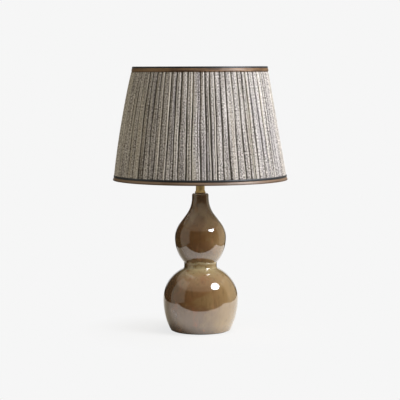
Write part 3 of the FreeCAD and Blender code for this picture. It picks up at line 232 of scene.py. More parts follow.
# %% Grid to mesh
def add_surface(name, points, cloth=None, sharp=math.radians(40)):
    """Mesh of a grid that closes both ways; cloth is a grid of UV points.

    The signed volume is a sixth of the sum of a.(b x c) over the triangles.
    """
    rows, columns, _ = points.shape
    number = np.arange(rows * columns).reshape(rows, columns)
    number = np.concatenate([number, number[:1]])
    number = np.concatenate([number, number[:, :1]], axis=1)
    corners = (number[:-1, :-1], number[:-1, 1:], number[1:, 1:], number[1:, :-1])
    quads = np.stack(corners, axis=-1).reshape(-1, 4)
    flat = points.reshape(-1, 3)
    a, b, c, d = (flat[quads[:, side]] for side in range(4))
    volume = (a * (np.cross(b, c) + np.cross(c, d))).sum() / 6
    turned = volume < 0
    if turned:
        quads = quads[:, ::-1]
    mesh = bpy.data.meshes.new(name)
    mesh.vertices.add(len(flat))
    mesh.vertices.foreach_set("co", flat.astype(np.float32).ravel())
    mesh.loops.add(quads.size)
    mesh.loops.foreach_set("vertex_index", quads.astype(np.int32).ravel())
    mesh.polygons.add(len(quads))
    starts = np.arange(0, quads.size, 4, dtype=np.int32)
    mesh.polygons.foreach_set("loop_start", starts)
    mesh.polygons.foreach_set("use_smooth", np.ones(len(quads), bool))
    mesh.update(calc_edges=True)
    mesh.validate()
    mesh.set_sharp_from_angle(angle=sharp)
    if cloth is not None:
        spots = (cloth[:-1, :-1], cloth[:-1, 1:], cloth[1:, 1:], cloth[1:, :-1])
        spots = np.stack(spots, axis=-2).reshape(-1, 4, 2)
        if turned:
            spots = spots[:, ::-1]
        layer = mesh.uv_layers.new(name="cloth")
        layer.data.foreach_set("uv", spots.astype(np.float32).ravel())
    piece = bpy.data.objects.new(name, mesh)
    bpy.context.scene.collection.objects.link(piece)
    print(f"{name}: {len(quads) * 2} triangles, {abs(volume) * 1e6:.1f} ml")
    return piece


def settle(piece, finish, body, slot, *nodes):
    """Finish a piece, tie it to its body and let it stand for its nodes."""
    piece.data.materials.append(finish.material)
    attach(piece, body)
    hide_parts(*nodes)


# %% Outlines to turn
def arc(centre, radius, start, end, count):
    """Points on a circle from one angle to another, in degrees."""
    angle = np.radians(np.linspace(start, end, count))
    across = centre[0] + radius * np.cos(angle)
    return np.stack([across, centre[1] + radius * np.sin(angle)], axis=-1)


def run(start, end, count):
    """Points on a straight line, both ends included."""
    return np.linspace(start, end, count)


def chain(*parts):
    """Join runs of points, leaving out points that repeat."""
    points = np.concatenate([np.asarray(part, float) for part in parts])
    apart = np.linalg.norm(points - np.roll(points, 1, axis=0), axis=1)
    return points[apart > 1e-7]


def turned(outline, around):
    """A closed outline turned about the axis.

    A point at radius r and height z goes to (r sin a, -r cos a, z) for angles a
    that start at the back.
    """
    angle = np.linspace(0, 2 * np.pi, around, endpoint=False)[None, :] + np.pi
    radius, height = outline[:, :1], outline[:, 1:]
    across = radius * np.sin(angle)
    back = -radius * np.cos(angle)
    return np.stack([across, back, height + 0 * angle], axis=-1)


# %% [markdown]
# ## The glazed body
#
# Such a body is cast or thrown stoneware under a thick brown glaze.  Its outline
# is a few arcs: a foot that spreads into the lower gourd, a small collar at the
# waist, an onion shaped upper gourd and a hollow sweep up to the neck.  Turning
# those arcs finely keeps the reflections clean, which a coarse mesh would break
# into facets.  A slow swell of a few tenths of a millimetre makes it hand made.

# %% Sizes of the body, in millimetres
FELT, FOOT_ROUND, WALL = 1.5, 1.5, 5.5
FOOT, LOWER, WAIST, UPPER, NECK = 61.2, 77.1, 33.4, 52.4, 17.0
LOWER_LEVEL, UPPER_LEVEL, NECK_LEVEL, CROWN = 65.0, 193.1, 277.0, 285.3
SHOULDER_ARC, WAIST_FILLET, BELLY_ARC, DOME_ARC, FLARE_ARC = 71.5, 5.0, 77.0, 51.8, 59.0
LIP, MOUTH, ROOF, BEAD = 4.0, 6.3, 280.3, 0.6
RECESS, CEILING, FLOOR = 52.0, 19.5, 25.5
BODY_COLUMNS, BODY_SWELL = 256, 0.00012


def aim(start, end):
    """Angle in degrees of the line from one point to another."""
    return math.degrees(math.atan2(end[1] - start[1], end[0] - start[0]))


# %% Centres of the body's arcs
drop = LOWER_LEVEL - FELT
FOOT_ARC = ((LOWER - FOOT) ** 2 + drop**2) / (2 * (LOWER - FOOT))
foot_centre = (LOWER - FOOT_ARC, LOWER_LEVEL)
round_level = FELT + FOOT_ROUND
reach = math.sqrt((FOOT_ARC - FOOT_ROUND) ** 2 - (LOWER_LEVEL - round_level) ** 2)
round_centre = (foot_centre[0] + reach, round_level)
shoulder_centre = (LOWER - SHOULDER_ARC, LOWER_LEVEL)
beside = WAIST + WAIST_FILLET - shoulder_centre[0]
climb = math.sqrt((SHOULDER_ARC + WAIST_FILLET) ** 2 - beside**2)
fillet_centre = (WAIST + WAIST_FILLET, LOWER_LEVEL + climb)
belly_centre = (UPPER - BELLY_ARC, UPPER_LEVEL)
belly_end = -math.degrees(math.acos((WAIST - belly_centre[0]) / BELLY_ARC))
groove = UPPER_LEVEL + BELLY_ARC * math.sin(math.radians(belly_end))
dome_centre = (UPPER - DOME_ARC, UPPER_LEVEL)
flare_centre = (NECK + FLARE_ARC, NECK_LEVEL)
between = math.dist(dome_centre, flare_centre)
lean = math.degrees(math.acos((DOME_ARC + FLARE_ARC) / between))
dome_end = aim(dome_centre, flare_centre) - lean
foot_start = aim(foot_centre, round_centre)
shoulder_end = aim(shoulder_centre, fillet_centre)
print(f"groove at {groove:.1f} mm, dome ends at {dome_end:.1f} degrees")


# %% Body outline
def gourd_outline():
    """Outline of the wall, in metres: up the outside and down the inside.

    Both sides are arcs about the same centres, and the inside's radii differ by
    the wall.  A small bead marks the groove, where the glaze breaks.
    """
    outside = chain(
        run((RECESS, FELT), (round_centre[0], FELT), 6),
        arc(round_centre, FOOT_ROUND, -90, foot_start, 8),
        arc(foot_centre, FOOT_ARC, foot_start, 0, 44),
        arc(shoulder_centre, SHOULDER_ARC, 1, shoulder_end, 64),
        arc(fillet_centre, WAIST_FILLET, shoulder_end + 180, 180, 14),
        run((WAIST, fillet_centre[1] + 1), (WAIST, groove - 2 * BEAD), 8),
        arc((WAIST, groove - BEAD), BEAD, -80, 80, 8),
        arc(belly_centre, BELLY_ARC, belly_end + 0.5, 0, 44),
        arc(dome_centre, DOME_ARC, 1, dome_end, 34),
        arc(flare_centre, FLARE_ARC, dome_end + 180, 180, 36),
        run((NECK, NECK_LEVEL + 0.5), (NECK, CROWN - LIP), 8),
        arc((NECK - LIP, CROWN - LIP), LIP, 0, 90, 16),
        run((NECK - LIP - 1, CROWN), (MOUTH, CROWN), 6),
    )
    inside = chain(
        run((MOUTH, CROWN - 1), (MOUTH, ROOF), 3),
        run((MOUTH + 2, ROOF), (NECK - WALL, ROOF), 3),
        arc(flare_centre, FLARE_ARC + WALL, 180, dome_end + 180, 9),
        arc(dome_centre, DOME_ARC - WALL, dome_end, 1, 9),
        arc(belly_centre, BELLY_ARC - WALL, 0, belly_end + 2, 9),
        arc(fillet_centre, WAIST_FILLET + WALL, 180, shoulder_end + 180, 5),
        arc(shoulder_centre, SHOULDER_ARC - WALL, shoulder_end - 1, 0, 10),
        arc(foot_centre, FOOT_ARC - WALL, -2, -16, 6),
        run((RECESS + 8, FLOOR), (MOUTH, FLOOR), 4),
        run((MOUTH, FLOOR - 1), (MOUTH, CEILING), 3),
        run((MOUTH + 2, CEILING), (RECESS - 1, CEILING), 6),
        run((RECESS, CEILING), (RECESS, FELT + 1), 5),
    )
    return np.concatenate([outside, inside]) / 1000


def hand_made(points, swell):
    """Push each point outwards by a slow wave of its angle and height."""
    across, back, height = points[..., 0], points[..., 1], points[..., 2]
    angle = np.arctan2(across, -back)
    wave = np.sin(2 * angle + 30 * height) + 0.6 * np.sin(3 * angle - 47 * height)
    wave = wave + 0.5 * np.sin(5 * angle + 90 * height)
    above_foot, below_neck = (height - 0.004) / 0.03, (0.27 - height) / 0.03
    fade = np.clip(above_foot, 0, 1) * np.clip(below_neck, 0, 1)
    radius = np.hypot(across, back)
    share = 1 + swell * wave * fade / radius
    return np.stack([across * share, back * share, height], axis=-1)


body_points = hand_made(turned(gourd_outline(), BODY_COLUMNS), BODY_SWELL)
body_piece = add_surface("glazed_body", body_points)

# %% Cord hole through the foot wall
HOLE_RADIUS, HOLE_LEVEL, HOLE_START, HOLE_LENGTH = 0.0048, 0.011, 0.040, 0.040
hole_mesh = bpy.data.meshes.new("cord_hole")
hole = bpy.data.objects.new("cord_hole", hole_mesh)
tube = arc((0.0, HOLE_LEVEL), HOLE_RADIUS, 0, 360, 49)[:-1]
near = np.stack([tube[:, 0], 0 * tube[:, 0] + HOLE_START, tube[:, 1]], axis=-1)
far = near + (0.0, HOLE_LENGTH, 0.0)
count = len(tube)
ring = np.arange(count)
walls = np.stack([ring, np.roll(ring, -1), np.roll(ring, -1) + count, ring + count], -1)
ends = [list(range(count)), list(range(2 * count - 1, count - 1, -1))]
hole_mesh.from_pydata(np.concatenate([near, far]).tolist(), [], walls.tolist() + ends)
hole_mesh.flip_normals()
bpy.context.scene.collection.objects.link(hole)
cut = body_piece.modifiers.new("cord hole", "BOOLEAN")
cut.object = hole
cut.solver = "EXACT"
graph = bpy.context.evaluated_depsgraph_get()
carved = bpy.data.meshes.new_from_object(body_piece.evaluated_get(graph))
body_piece.modifiers.clear()
body_piece.data = carved
carved.set_sharp_from_angle(angle=math.radians(40))
bpy.data.objects.remove(hole)
print("body with its cord hole:", len(carved.polygons), "faces")

# %% [markdown]
# ## The glaze
#
# The glaze is glassy and breaks over the form: dark brown at the foot, the groove
# and the neck, amber on the bellies with rusty clouds, and thin and straw
# coloured on the collar, where it ran off the edge.  It is painted paler on the
# right, where the light falls, and darker on the left, in shade, with painted
# shade on the left of the collar too.  Height picks the main colour, noise at several
# sizes makes clouds, runs and specks, and a high index of refraction under a clear
# coat gives the strong mirror images of such a glaze.

# %% Glaze
RAMP_TOP = 0.30
LOW_ENOUGH = (0.27, 0.22)
glaze = Finish("brown_glaze", Roughness=0.07, IOR=2.2, Coat_Weight=1.0)
glaze.set(Coat_Roughness=0.02, Coat_IOR=1.5)
level = glaze.height()
cloud = glaze.noise(glaze.place(), 22.0, 3.0, 0.55, 0.4)
runs = glaze.noise(glaze.place((1.0, 1.0, 0.10)), 150.0, 3.0, 0.6)
patches = glaze.noise(glaze.place((1.0, 1.0, 0.45)), 60.0, 3.0, 0.6, 0.5)
specks = glaze.noise(glaze.place(), 420.0, 2.0, 0.6)
wander = (cloud - 0.5) * 0.020 + (runs - 0.5) * 0.010
tone = glaze.ramp(
    (level + wander) / RAMP_TOP,
    [
        (0.00, (0.110, 0.070, 0.040)),
        (0.06, (0.190, 0.122, 0.070)),
        (0.16, (0.190, 0.104, 0.050)),
        (0.22, (0.195, 0.090, 0.032)),
        (0.32, (0.245, 0.128, 0.050)),
        (0.38, (0.370, 0.225, 0.110)),
        (0.428, (0.500, 0.400, 0.215)),
        (0.444, (0.520, 0.420, 0.230)),
        (0.456, (0.360, 0.250, 0.115)),
        (0.466, (0.400, 0.290, 0.140)),
        (0.472, (0.620, 0.530, 0.340)),
        (0.480, (0.480, 0.380, 0.210)),
        (0.486, (0.150, 0.080, 0.032)),
        (0.60, (0.185, 0.088, 0.032)),
        (0.72, (0.225, 0.108, 0.036)),
        (0.80, (0.185, 0.095, 0.040)),
        (0.92, (0.160, 0.090, 0.046)),
        (0.99, (0.150, 0.086, 0.046)),
    ],
)
rust = patches.step(0.54, 0.70) * level.step(0.285, 0.220) * 0.6
tone = glaze.mix(rust, tone, (0.320, 0.120, 0.050))
olive = cloud.step(0.50, 0.66) * level.step(0.290, 0.230) * 0.5
tone = glaze.mix(olive, tone, (0.300, 0.205, 0.085))
aside = glaze.node("ShaderNodeSeparateXYZ", {}, {0: glaze.place()}, take="X")
across = aside + (patches - 0.5) * 0.04
# Painted light: the glaze is made paler and straw coloured towards the right, where the
# light falls.
painted_light_right = across.step(0.000, 0.060) * level.step(*LOW_ENOUGH)
tone = glaze.mix(painted_light_right * 0.62, tone, (0.450, 0.315, 0.145))
# Painted shade: the glaze is darkened towards the left, which lies in shade.
painted_shade_left = across.step(-0.020, -0.066) * level.step(*LOW_ENOUGH)
tone = glaze.mix(painted_shade_left * 0.65, tone, (0.085, 0.042, 0.018))
# Painted shade: the left of the collar is darkened, where it lies in shade.
left_side = (aside + (cloud - 0.5) * 0.02).step(-0.018, -0.032)
on_collar = level.step(0.128, 0.134)
painted_shade_collar_left = left_side * on_collar * level.step(0.152, 0.146)
tone = glaze.mix(painted_shade_collar_left * 0.8, tone, (0.085, 0.045, 0.018))
pool = runs.step(0.52, 0.72) * 0.35
tone = glaze.mix(pool, tone, (0.100, 0.055, 0.022))
glaze.set(Base_Color=tone)
glaze.bump(cloud + specks * 0.03, 0.25, 0.0012)
settle(body_piece, glaze, "base", "glaze", "ceramic_body")

# %% [markdown]
# ## The gathered cover
#
# The cover is linen gathered over the frame in narrow uneven pleats.  Each pleat
# is a flat soft ridge between two tight creases, and lower down, where the shade
# widens, most ridges get a shallow second crease and a faint third one.  One
# formula for the depth at every angle and height makes the whole sheet, with
# more columns near the creases, because that is where it turns sharply.

# %% Lines and waves
COVER_FOOT, COVER_TOP = 0.3148, 0.5419
FOOT_RADIUS, TOP_RADIUS = 0.1779, 0.1382
COVER_DEPTH, DEEPEST_FOLD = 0.0032, 0.0028
MEAN_RADIUS = 0.158
PLEATS, STEPS, ROWS = 80, 22, 48
UNEVEN, CROWDING, DRIFT = 0.27, 0.50, 0.0006
ROLL_PLACE, ROLL_WIDTH = 0.0026, 0.0010
chance = np.random.default_rng(11)


def cone_radius(height):
    """Radius of the ridges at a height: straight from the foot to the top."""
    rise = (height - COVER_FOOT) / (COVER_TOP - COVER_FOOT)
    return FOOT_RADIUS + (TOP_RADIUS - FOOT_RADIUS) * rise


def smooth(value, low, high):
    """The smoothstep curve: 0 below low, 1 above high."""
    share = np.clip((value - low) / (high - low), 0, 1)
    return share * share * (3 - 2 * share)


def hill(distance, width):
    """A bell curve: 1 in the middle, gone two widths away."""
    return np.exp(-((distance / width) ** 2))


def waves(rise, size):
    """One slow random wave up the shade for each pleat, as rows by pleats."""
    phase = chance.uniform(0, 2 * np.pi, (2, PLEATS))
    pace = chance.uniform((0.6, 1.6), (1.4, 3.2), (PLEATS, 2)).T
    swing = np.sin(2 * np.pi * pace[0] * rise[:, None] + phase[0])
    swing = swing + 0.5 * np.sin(2 * np.pi * pace[1] * rise[:, None] + phase[1])
    return size * swing


def each(low, high, wave=0.0):
    """A random value for each pleat that may waver up the shade by a share."""
    value = chance.uniform(low, high, PLEATS) * (1 + waves(RISE, wave))
    return value[:, :, None]


RISE = np.linspace(0, 1, ROWS)


# %% Pleated sheet
def pleated_cover():
    """Grids of angle, radius and height, and of the fold and the edge.

    Each pleat lies between two crease lines that wander a little.  Its depth
    below the cone is a bell curve at each crease, and it stands up in a rolled
    edge beside them.  In between it leans a little, and most pleats have a
    second, shallower crease that starts part of the way down, and a faint third
    one.  On the left the cloth bulges by up to 4 mm between the tapes, which
    pinch it at both ends.
    """
    width = 1 + UNEVEN * chance.uniform(-1, 1, PLEATS)
    width = width / width.sum()
    start = np.concatenate([[0], np.cumsum(width)[:-1]])
    even = (np.arange(STEPS) + 0.5) / STEPS
    across = even - CROWDING * np.sin(2 * np.pi * even) / (2 * np.pi)
    drift = waves(RISE, DRIFT) / (2 * np.pi * MEAN_RADIUS)
    left = start[None, :, None] + drift[:, :, None]
    span = width[None, :, None] + (np.roll(drift, -1, axis=1) - drift)[:, :, None]
    turn = left + span * across
    angle = 2 * np.pi * turn
    height = COVER_FOOT + (COVER_TOP - COVER_FOOT) * RISE
    radius = cone_radius(height)[:, None, None]
    wide = span * 2 * np.pi * radius
    gap_left, gap_right = across * wide, (1 - across) * wide
    rise = RISE[:, None, None]
    deep, tight = each(0.0020, 0.0028, 0.15), each(0.0012, 0.0020, 0.12)
    fold = deep * hill(gap_left, tight)
    fold = fold + np.roll(deep, -1, 1) * hill(gap_right, np.roll(tight, -1, 1))
    middle = each(0.30, 0.70, 0.06)
    reach = each(0.2, 1.3)
    growth = 1 - smooth(rise, reach - 0.35, reach)
    small = each(0.0003, 0.0019) * growth
    fold = fold + small * hill((across - middle) * wide, 0.0010)
    third = np.where(middle > 0.5, middle - 0.26, middle + 0.26)
    faint = each(0.0, 0.0011) * (1 - 0.6 * rise)
    fold = fold + faint * hill((across - third) * wide, 0.0008)
    roll_right, roll_left = each(-0.0004, 0.0011, 0.3), each(-0.0004, 0.0008, 0.3)
    edge = np.maximum(roll_right, 0) * hill(gap_right - ROLL_PLACE, ROLL_WIDTH)
    edge = edge + np.maximum(roll_left, 0) * hill(gap_left - ROLL_PLACE, ROLL_WIDTH)
    lean = each(-0.0008, 0.0008, 0.3) * (across - 0.5)
    crown = 0.0006 * (2 * across - 1) ** 2
    down = np.minimum(fold + crown - lean, DEEPEST_FOLD) - edge
    bulge = 0.0020 * (1 - np.sin(angle - np.pi)) * np.sin(np.pi * rise) ** 0.8
    pinch = 0.0012 * (smooth(rise, 0.955, 0.975) + 1 - smooth(rise, 0.02, 0.045))
    outer = radius - down + bulge - pinch
    flat = (ROWS, PLEATS * STEPS)
    folding = np.clip(fold / 0.0026, 0, 1)
    rolled = np.clip(edge / 0.0009, 0, 1)
    return [grid.reshape(flat) for grid in (angle, outer, folding, rolled)], height


(angle, outer, folding, rolled), height = pleated_cover()
inner_rows = np.linspace(COVER_TOP, COVER_FOOT, 6)
inner = np.repeat(cone_radius(inner_rows)[:, None] - COVER_DEPTH, angle.shape[1], 1)
even_angle = np.repeat(angle.mean(axis=0)[None, :], len(inner_rows), 0)
angles = np.concatenate([angle, even_angle]) + np.pi
radii = np.concatenate([outer, inner])
heights = np.concatenate([height, inner_rows])[:, None] + 0 * radii
points = np.stack([radii * np.sin(angles), -radii * np.cos(angles), heights], axis=-1)
along = np.concatenate([angles, angles[:, :1] + 2 * np.pi], axis=1) * MEAN_RADIUS
along = np.concatenate([along, along[:1]])
tall = np.concatenate([heights, heights[:, :1]], axis=1)
tall = np.concatenate([tall, tall[:1]])
cover = add_surface("linen_cover", points, np.stack([along, tall], -1), math.pi)


def carry(piece, name, values):
    """Store one number for each of a piece's points."""
    layer = piece.data.attributes.new(name, "FLOAT", "POINT")
    layer.data.foreach_set("value", values.astype(np.float32).ravel())


carry(cover, "fold", np.concatenate([folding, 0 * inner]))
carry(cover, "edge", np.concatenate([rolled, 0 * inner]))
strips = np.linalg.norm(np.diff(points[:ROWS], axis=1), axis=-1).sum(axis=1)
print("cloth round the cover, metres:", strips.min().round(3), strips.max().round(3))

# %% [markdown]
# ## Linen
#
# The cloth is heathered: pale, grey and tan threads are spun together, so its
# colour flickers at the scale of a thread or two.  Long thin noise along each
# pleat gives the streaks and small noise gives the flecks.  The fold value that
# the mesh carries darkens the creases with painted shade, and its edge value
# lightens the rolled edges beside them with a painted highlight.

# %% Linen finish
linen = Finish("heathered_linen", Roughness=0.86, Sheen_Weight=0.12)
linen.set(Sheen_Roughness=0.5)
weave = linen.node("ShaderNodeUVMap", {"uv_map": "cloth"})
folded = linen.node("ShaderNodeAttribute", {"attribute_name": "fold"}, take="Fac")
edge_highlight_mask = linen.node("ShaderNodeAttribute", {"attribute_name": "edge"}, take="Fac")


def threads(across, up, detail=2.0):
    """Noise on the cloth, so many cells to the metre each way."""
    spread = linen.node(
        "ShaderNodeMapping", {}, {"Vector": weave, "Scale": (across, up, 1.0)}
    )
    return linen.noise(spread, 1.0, detail, 0.6)


streaks = threads(300.0, 7.0, 3.0)
flecks = threads(620.0, 300.0)
slubs = threads(60.0, 420.0)
bands = threads(75.0, 4.0)
shade_tone = flecks * 0.92 + streaks * 0.47 + slubs * 0.06 - 0.225
yarn = linen.ramp(
    shade_tone,
    [
        (0.40, (0.130, 0.116, 0.106)),
        (0.47, (0.380, 0.350, 0.334)),
        (0.53, (0.620, 0.582, 0.562)),
        (0.60, (0.880, 0.840, 0.800)),
    ],
)
warm = linen.mix(bands.step(0.52, 0.66) * 0.32, yarn, (0.540, 0.470, 0.350))
cool = linen.mix(bands.step(0.47, 0.36) * 0.32, warm, (0.410, 0.390, 0.430))
# Painted highlight: the rolled edges beside the creases are lightened to cream.
lit = linen.mix(edge_highlight_mask.step(0.1, 0.8) * 0.75, cool, (0.880, 0.830, 0.720))
# Painted shade: the creases are darkened where the fold value is deep.
crease_shade_mask = folded.step(0.12, 0.90)
crease_shaded = linen.mix(crease_shade_mask * 0.92, lit, (0.060, 0.053, 0.038))
# Painted shadow: a dark line in the cloth just below the top tape, where it tucks
# under.
tape_shadow_mask = linen.height().step(0.5328, 0.5342) * 0.75
linen.set(Base_Color=linen.mix(tape_shadow_mask, crease_shaded, (0.110, 0.065, 0.038)))
linen.bump(flecks * 0.6 + streaks * 0.5, 0.5, 0.0005)
settle(cover, linen, "shade", "linen", "shade_fabric")
print("cover's flat cut: 1.30 by 0.23 m")

# %% [markdown]
# ## Tapes and cords round the edges
#
# Both edges of the cover are hidden under silk: a brown tape with a navy cord
# above it at the top, and a navy tape above a brown one at the bottom.  Each is
# a padded band carried round the shade, so its cross section is a flattened
# oval, thicker in the middle than at its sewn edges.

# %% Bands round the shade
def band(name, low, high, stand_out, sink, plump=2.4, tip=0.0):
    """A padded band that follows the cone between two heights.

    Its cross section is a superellipse: the outside stands out by stand_out,
    the inside reaches in by sink, and plump sets how square it is.  Tip is how
    far its lower edge is pushed out beyond its upper one.
    """
    around, steps = 360, 28
    cloth_radius = 0.157
    share = np.linspace(0, 2 * np.pi, steps, endpoint=False)
    curve = np.abs(np.cos(share)) ** (2 / plump) * np.sign(np.cos(share))
    lift = np.abs(np.sin(share)) ** (2 / plump) * np.sign(np.sin(share))
    turn = np.linspace(0, 2 * np.pi, around, endpoint=False)
    middle, half = (low + high) / 2, (high - low) / 2
    level = middle + half * lift
    offset = np.where(curve > 0, stand_out * curve, sink * curve)
    puckers = 1 + 0.06 * np.sin(47 * turn) + 0.05 * np.sin(31 * turn + 1.0)
    reach = np.where(offset[:, None] > 0, offset[:, None] * puckers, offset[:, None])
    radius = cone_radius(level)[:, None] + reach - tip * 0.5 * lift[:, None]
    height = level[:, None] + 0 * turn
    points = np.stack([radius * np.sin(turn), radius * np.cos(turn), height], axis=-1)
    turns = np.append(turn, 2 * np.pi) * cloth_radius
    sides = np.append(share, 2 * np.pi) / (2 * np.pi)
    cloth = np.stack(np.meshgrid(turns, sides), axis=-1)
    return add_surface(name, points, cloth, math.pi)


top_tape = band("top_brown_tape", 0.5349, 0.5419, 0.0010, 0.0012)
top_cord = band("top_navy_cord", 0.5414, 0.5451, 0.0008, 0.0026, 2.2)
bottom_navy = band("bottom_navy_tape", 0.3197, 0.3241, 0.0011, 0.0012)
bottom_tape = band("bottom_brown_tape", 0.3134, 0.3200, 0.0010, 0.0012, 2.4, 0.0016)


# %% Silk finishes
def silk(name, pale, dark, edge, rolled):
    """Satin tape: fine ribs across it and a slow change of tone along it.

    Where it rolls under the shade's foot it is painted darker, as shade.
    """
    made = Finish(name, Roughness=0.46, Sheen_Weight=0.05, IOR=1.65)
    made.set(Sheen_Roughness=0.35)
    spot = made.node("ShaderNodeUVMap", {"uv_map": "cloth"})
    slow = made.node("ShaderNodeMapping", {}, {"Vector": spot, "Scale": (14.0, 1.5, 1)})
    fine = made.node("ShaderNodeMapping", {}, {"Vector": spot, "Scale": (900.0, 3, 1)})
    cloudy = made.noise(slow, 1.0, 3.0)
    ribs = made.noise(fine, 1.0, 1.0)
    tone = made.mix(cloudy.step(0.35, 0.65), dark, pale)
    tone = made.mix(ribs.step(0.35, 0.75) * 0.35, tone, edge)
    # Painted shade: the band is darkened where it rolls under the shade's foot.
    under = made.height().step(0.3168, 0.3148) * 0.85
    made.set(Base_Color=made.mix(under, tone, rolled))
    made.bump(ribs, 0.35, 0.0003)
    return made


brown_silk = silk(
    "brown_silk",
    (0.350, 0.200, 0.094),
    (0.145, 0.078, 0.037),
    (0.080, 0.044, 0.024),
    (0.080, 0.044, 0.024),
)
# Painted light: a paler copy of the brown silk for the bottom tape, for the light it
# catches from the board below.
brown_silk_lit_below = silk(
    "brown_silk_lit_below",
    (0.370, 0.250, 0.165),
    (0.215, 0.138, 0.088),
    (0.120, 0.068, 0.038),
    (0.110, 0.060, 0.030),
)
navy_silk = silk(
    "navy_silk",
    (0.034, 0.043, 0.054),
    (0.018, 0.023, 0.029),
    (0.012, 0.014, 0.017),
    (0.012, 0.014, 0.017),
)
settle(top_tape, brown_silk, "shade", "brown_tape", "top_binding")
settle(top_cord, navy_silk, "shade", "navy_tape", "top_piping")
settle(bottom_navy, navy_silk, "shade", "navy_tape", "bottom_piping")
settle(bottom_tape, brown_silk_lit_below, "shade", "brown_tape", "bottom_binding")

# %% [markdown]
# ## The brass neck
#
# A short spun tube of antiqued brass stands on the ceramic, with a foot that
# flares out.  It is turned from its outline like the body, and its finish is
# metal under a film that has dulled in clouds, with fine lines round it.

# %% Brass neck
neck_outline = chain(
    run((10.0, 286.3), (10.6, 286.3), 3),
    arc((10.7, 286.8), 0.5, -90, 0, 6),
    run((11.2, 287.1), (11.1, 287.6), 3),
    arc((15.98, 292.5), 6.88, 225.4, 180, 14),
    run((9.1, 293.0), (9.1, 305.3), 12),
    arc((8.1, 305.3), 1.0, 0, 90, 8),
    run((8.0, 306.3), (5.1, 306.3), 4),
    run((5.1, 305.8), (5.1, 305.3), 2),
    run((8.1, 305.2), (8.1, 292.0), 6),
    run((8.5, 290.0), (9.6, 287.3), 5),
)
neck_piece = add_surface("spun_neck", turned(neck_outline / 1000, 128))


def brass(name, pale, dark, shine, metal=1.0):
    """Aged brass: metal with brown clouds and fine lines round the axis.

    Metal is 1 for bare brass, and less where a dull film scatters the light.
    """
    made = Finish(name, Metallic=metal)
    cloudy = made.noise(made.place(), 90.0, 4.0, 0.6)
    lines = made.noise(made.place((0.4, 0.4, 12.0)), 140.0, 2.0)
    spots = made.noise(made.place(), 700.0, 2.0)
    worn = cloudy.step(0.38, 0.66)
    tone = made.mix(worn, dark, pale)
    tone = made.mix(spots.step(0.62, 0.78) * 0.3, tone, (0.16, 0.10, 0.04))
    made.set(Base_Color=tone, Roughness=shine + cloudy * 0.12 + lines * 0.06)
    made.bump(lines + spots * 0.3, 0.15, 0.0002)
    return made


aged_brass = brass(
    "aged_brass", (0.960, 0.720, 0.350), (0.860, 0.610, 0.270), 0.2, metal=0.4
)
bright_brass = brass("bright_brass", (0.700, 0.520, 0.240), (0.520, 0.370, 0.150), 0.2)
settle(neck_piece, aged_brass, "base", "brass", "brass_neck")
dress(aged_brass, "finial", "harp_saddle", "harp_sleeve_left", "harp_sleeve_right")
dress(bright_brass, "harp", "harp_stud", "socket_cap", "socket_shell", "switch_stem")
dress(bright_brass, "centre_contact", "terminal_screws", "spider")

# %% [markdown]
# ## Smaller parts
#
# The rest of the lamp is seen from below, from above or from the back.  The
# construction model already has those shapes right, so each only needs its
# finish: plated steel, moulded plastic, enamel on wire, rubber, felt, pressed
# fibre, frosted glass and the film that lines the shade.

# %% Steel and cap metal
def plated(name, tone, shine):
    """Plated metal with a faint frost of fine scratches."""
    made = Finish(name, Metallic=1.0, Base_Color=tone)
    haze = made.noise(made.place(), 260.0, 3.0)
    scratch = made.noise(made.place((1.0, 1.0, 9.0)), 900.0, 1.0)
    dulled = tuple(0.72 * part for part in tone)
    made.set(Base_Color=made.mix(haze.step(0.45, 0.75) * 0.6, tone, dulled))
    made.set(Roughness=shine + haze * 0.15)
    made.bump(scratch, 0.12, 0.0001)
    return made


zinc = plated("zinc_plate", (0.58, 0.58, 0.56), 0.28)
rolled = plated("rolled_cap", (0.74, 0.74, 0.73), 0.22)
dress(zinc, "threaded_rod", "bottom_washer", "bottom_lock_washer", "bottom_nut")
dress(zinc, "socket_cap_screw", "bulb_contact", "bulb_filament")
dress(rolled, "screw_shell", "bulb_cap")


# %% Plastic, rubber, fibre and film
def grained(name, tone, mottle, size, shine, depth):
    """A matt solid: two close tones and a fine grain of a given size."""
    made = Finish(name)
    grain = made.noise(made.place(), size, 3.0)
    slow = made.noise(made.place(), size / 12, 2.0)
    made.set(Base_Color=made.mix(slow.step(0.35, 0.68), tone, mottle))
    made.set(Roughness=shine + (grain - 0.5) * 0.15)
    made.bump(grain, 0.3, depth)
    return made


plastic = grained("black_moulding", (0.018,) * 3, (0.030,) * 3, 1400.0, 0.34, 0.0001)
rubber = grained("black_rubber", (0.020,) * 3, (0.035,) * 3, 900.0, 0.72, 0.0002)
fibre = grained(
    "pressed_fibre", (0.30, 0.25, 0.19), (0.24, 0.19, 0.14), 500.0, 0.8, 0.0002
)
enamel = grained(
    "white_enamel", (0.80, 0.79, 0.76), (0.74, 0.72, 0.68), 300.0, 0.35, 0.0001
)
film = grained(
    "lining_film", (0.78, 0.76, 0.71), (0.72, 0.69, 0.63), 700.0, 0.62, 0.0002
)
felt = grained(
    "dark_felt", (0.030, 0.042, 0.032), (0.050, 0.062, 0.048), 1100.0, 0.95, 0.0008
)
dress(plastic, "switch_knob", "socket_core", "bulb_insulator")
dress(rubber, "cord_grommet", "neck_gasket")
dress(fibre, "socket_liner")
dress(enamel, "shade_top_ring", "shade_bottom_ring")
dress(film, "shade_liner")
dress(felt, "foot_felt")

# %% Frosted glass
frosted = Finish("frosted_glass", Transmission_Weight=0.5, IOR=1.45)
mist = frosted.noise(frosted.place(), 400.0, 2.0)
frosted.set(Base_Color=frosted.mix(mist, (0.93, 0.92, 0.89), (0.88, 0.87, 0.84)))
frosted.set(Roughness=0.34 + mist * 0.1)
dress(frosted, "bulb_glass", "bulb_mount")

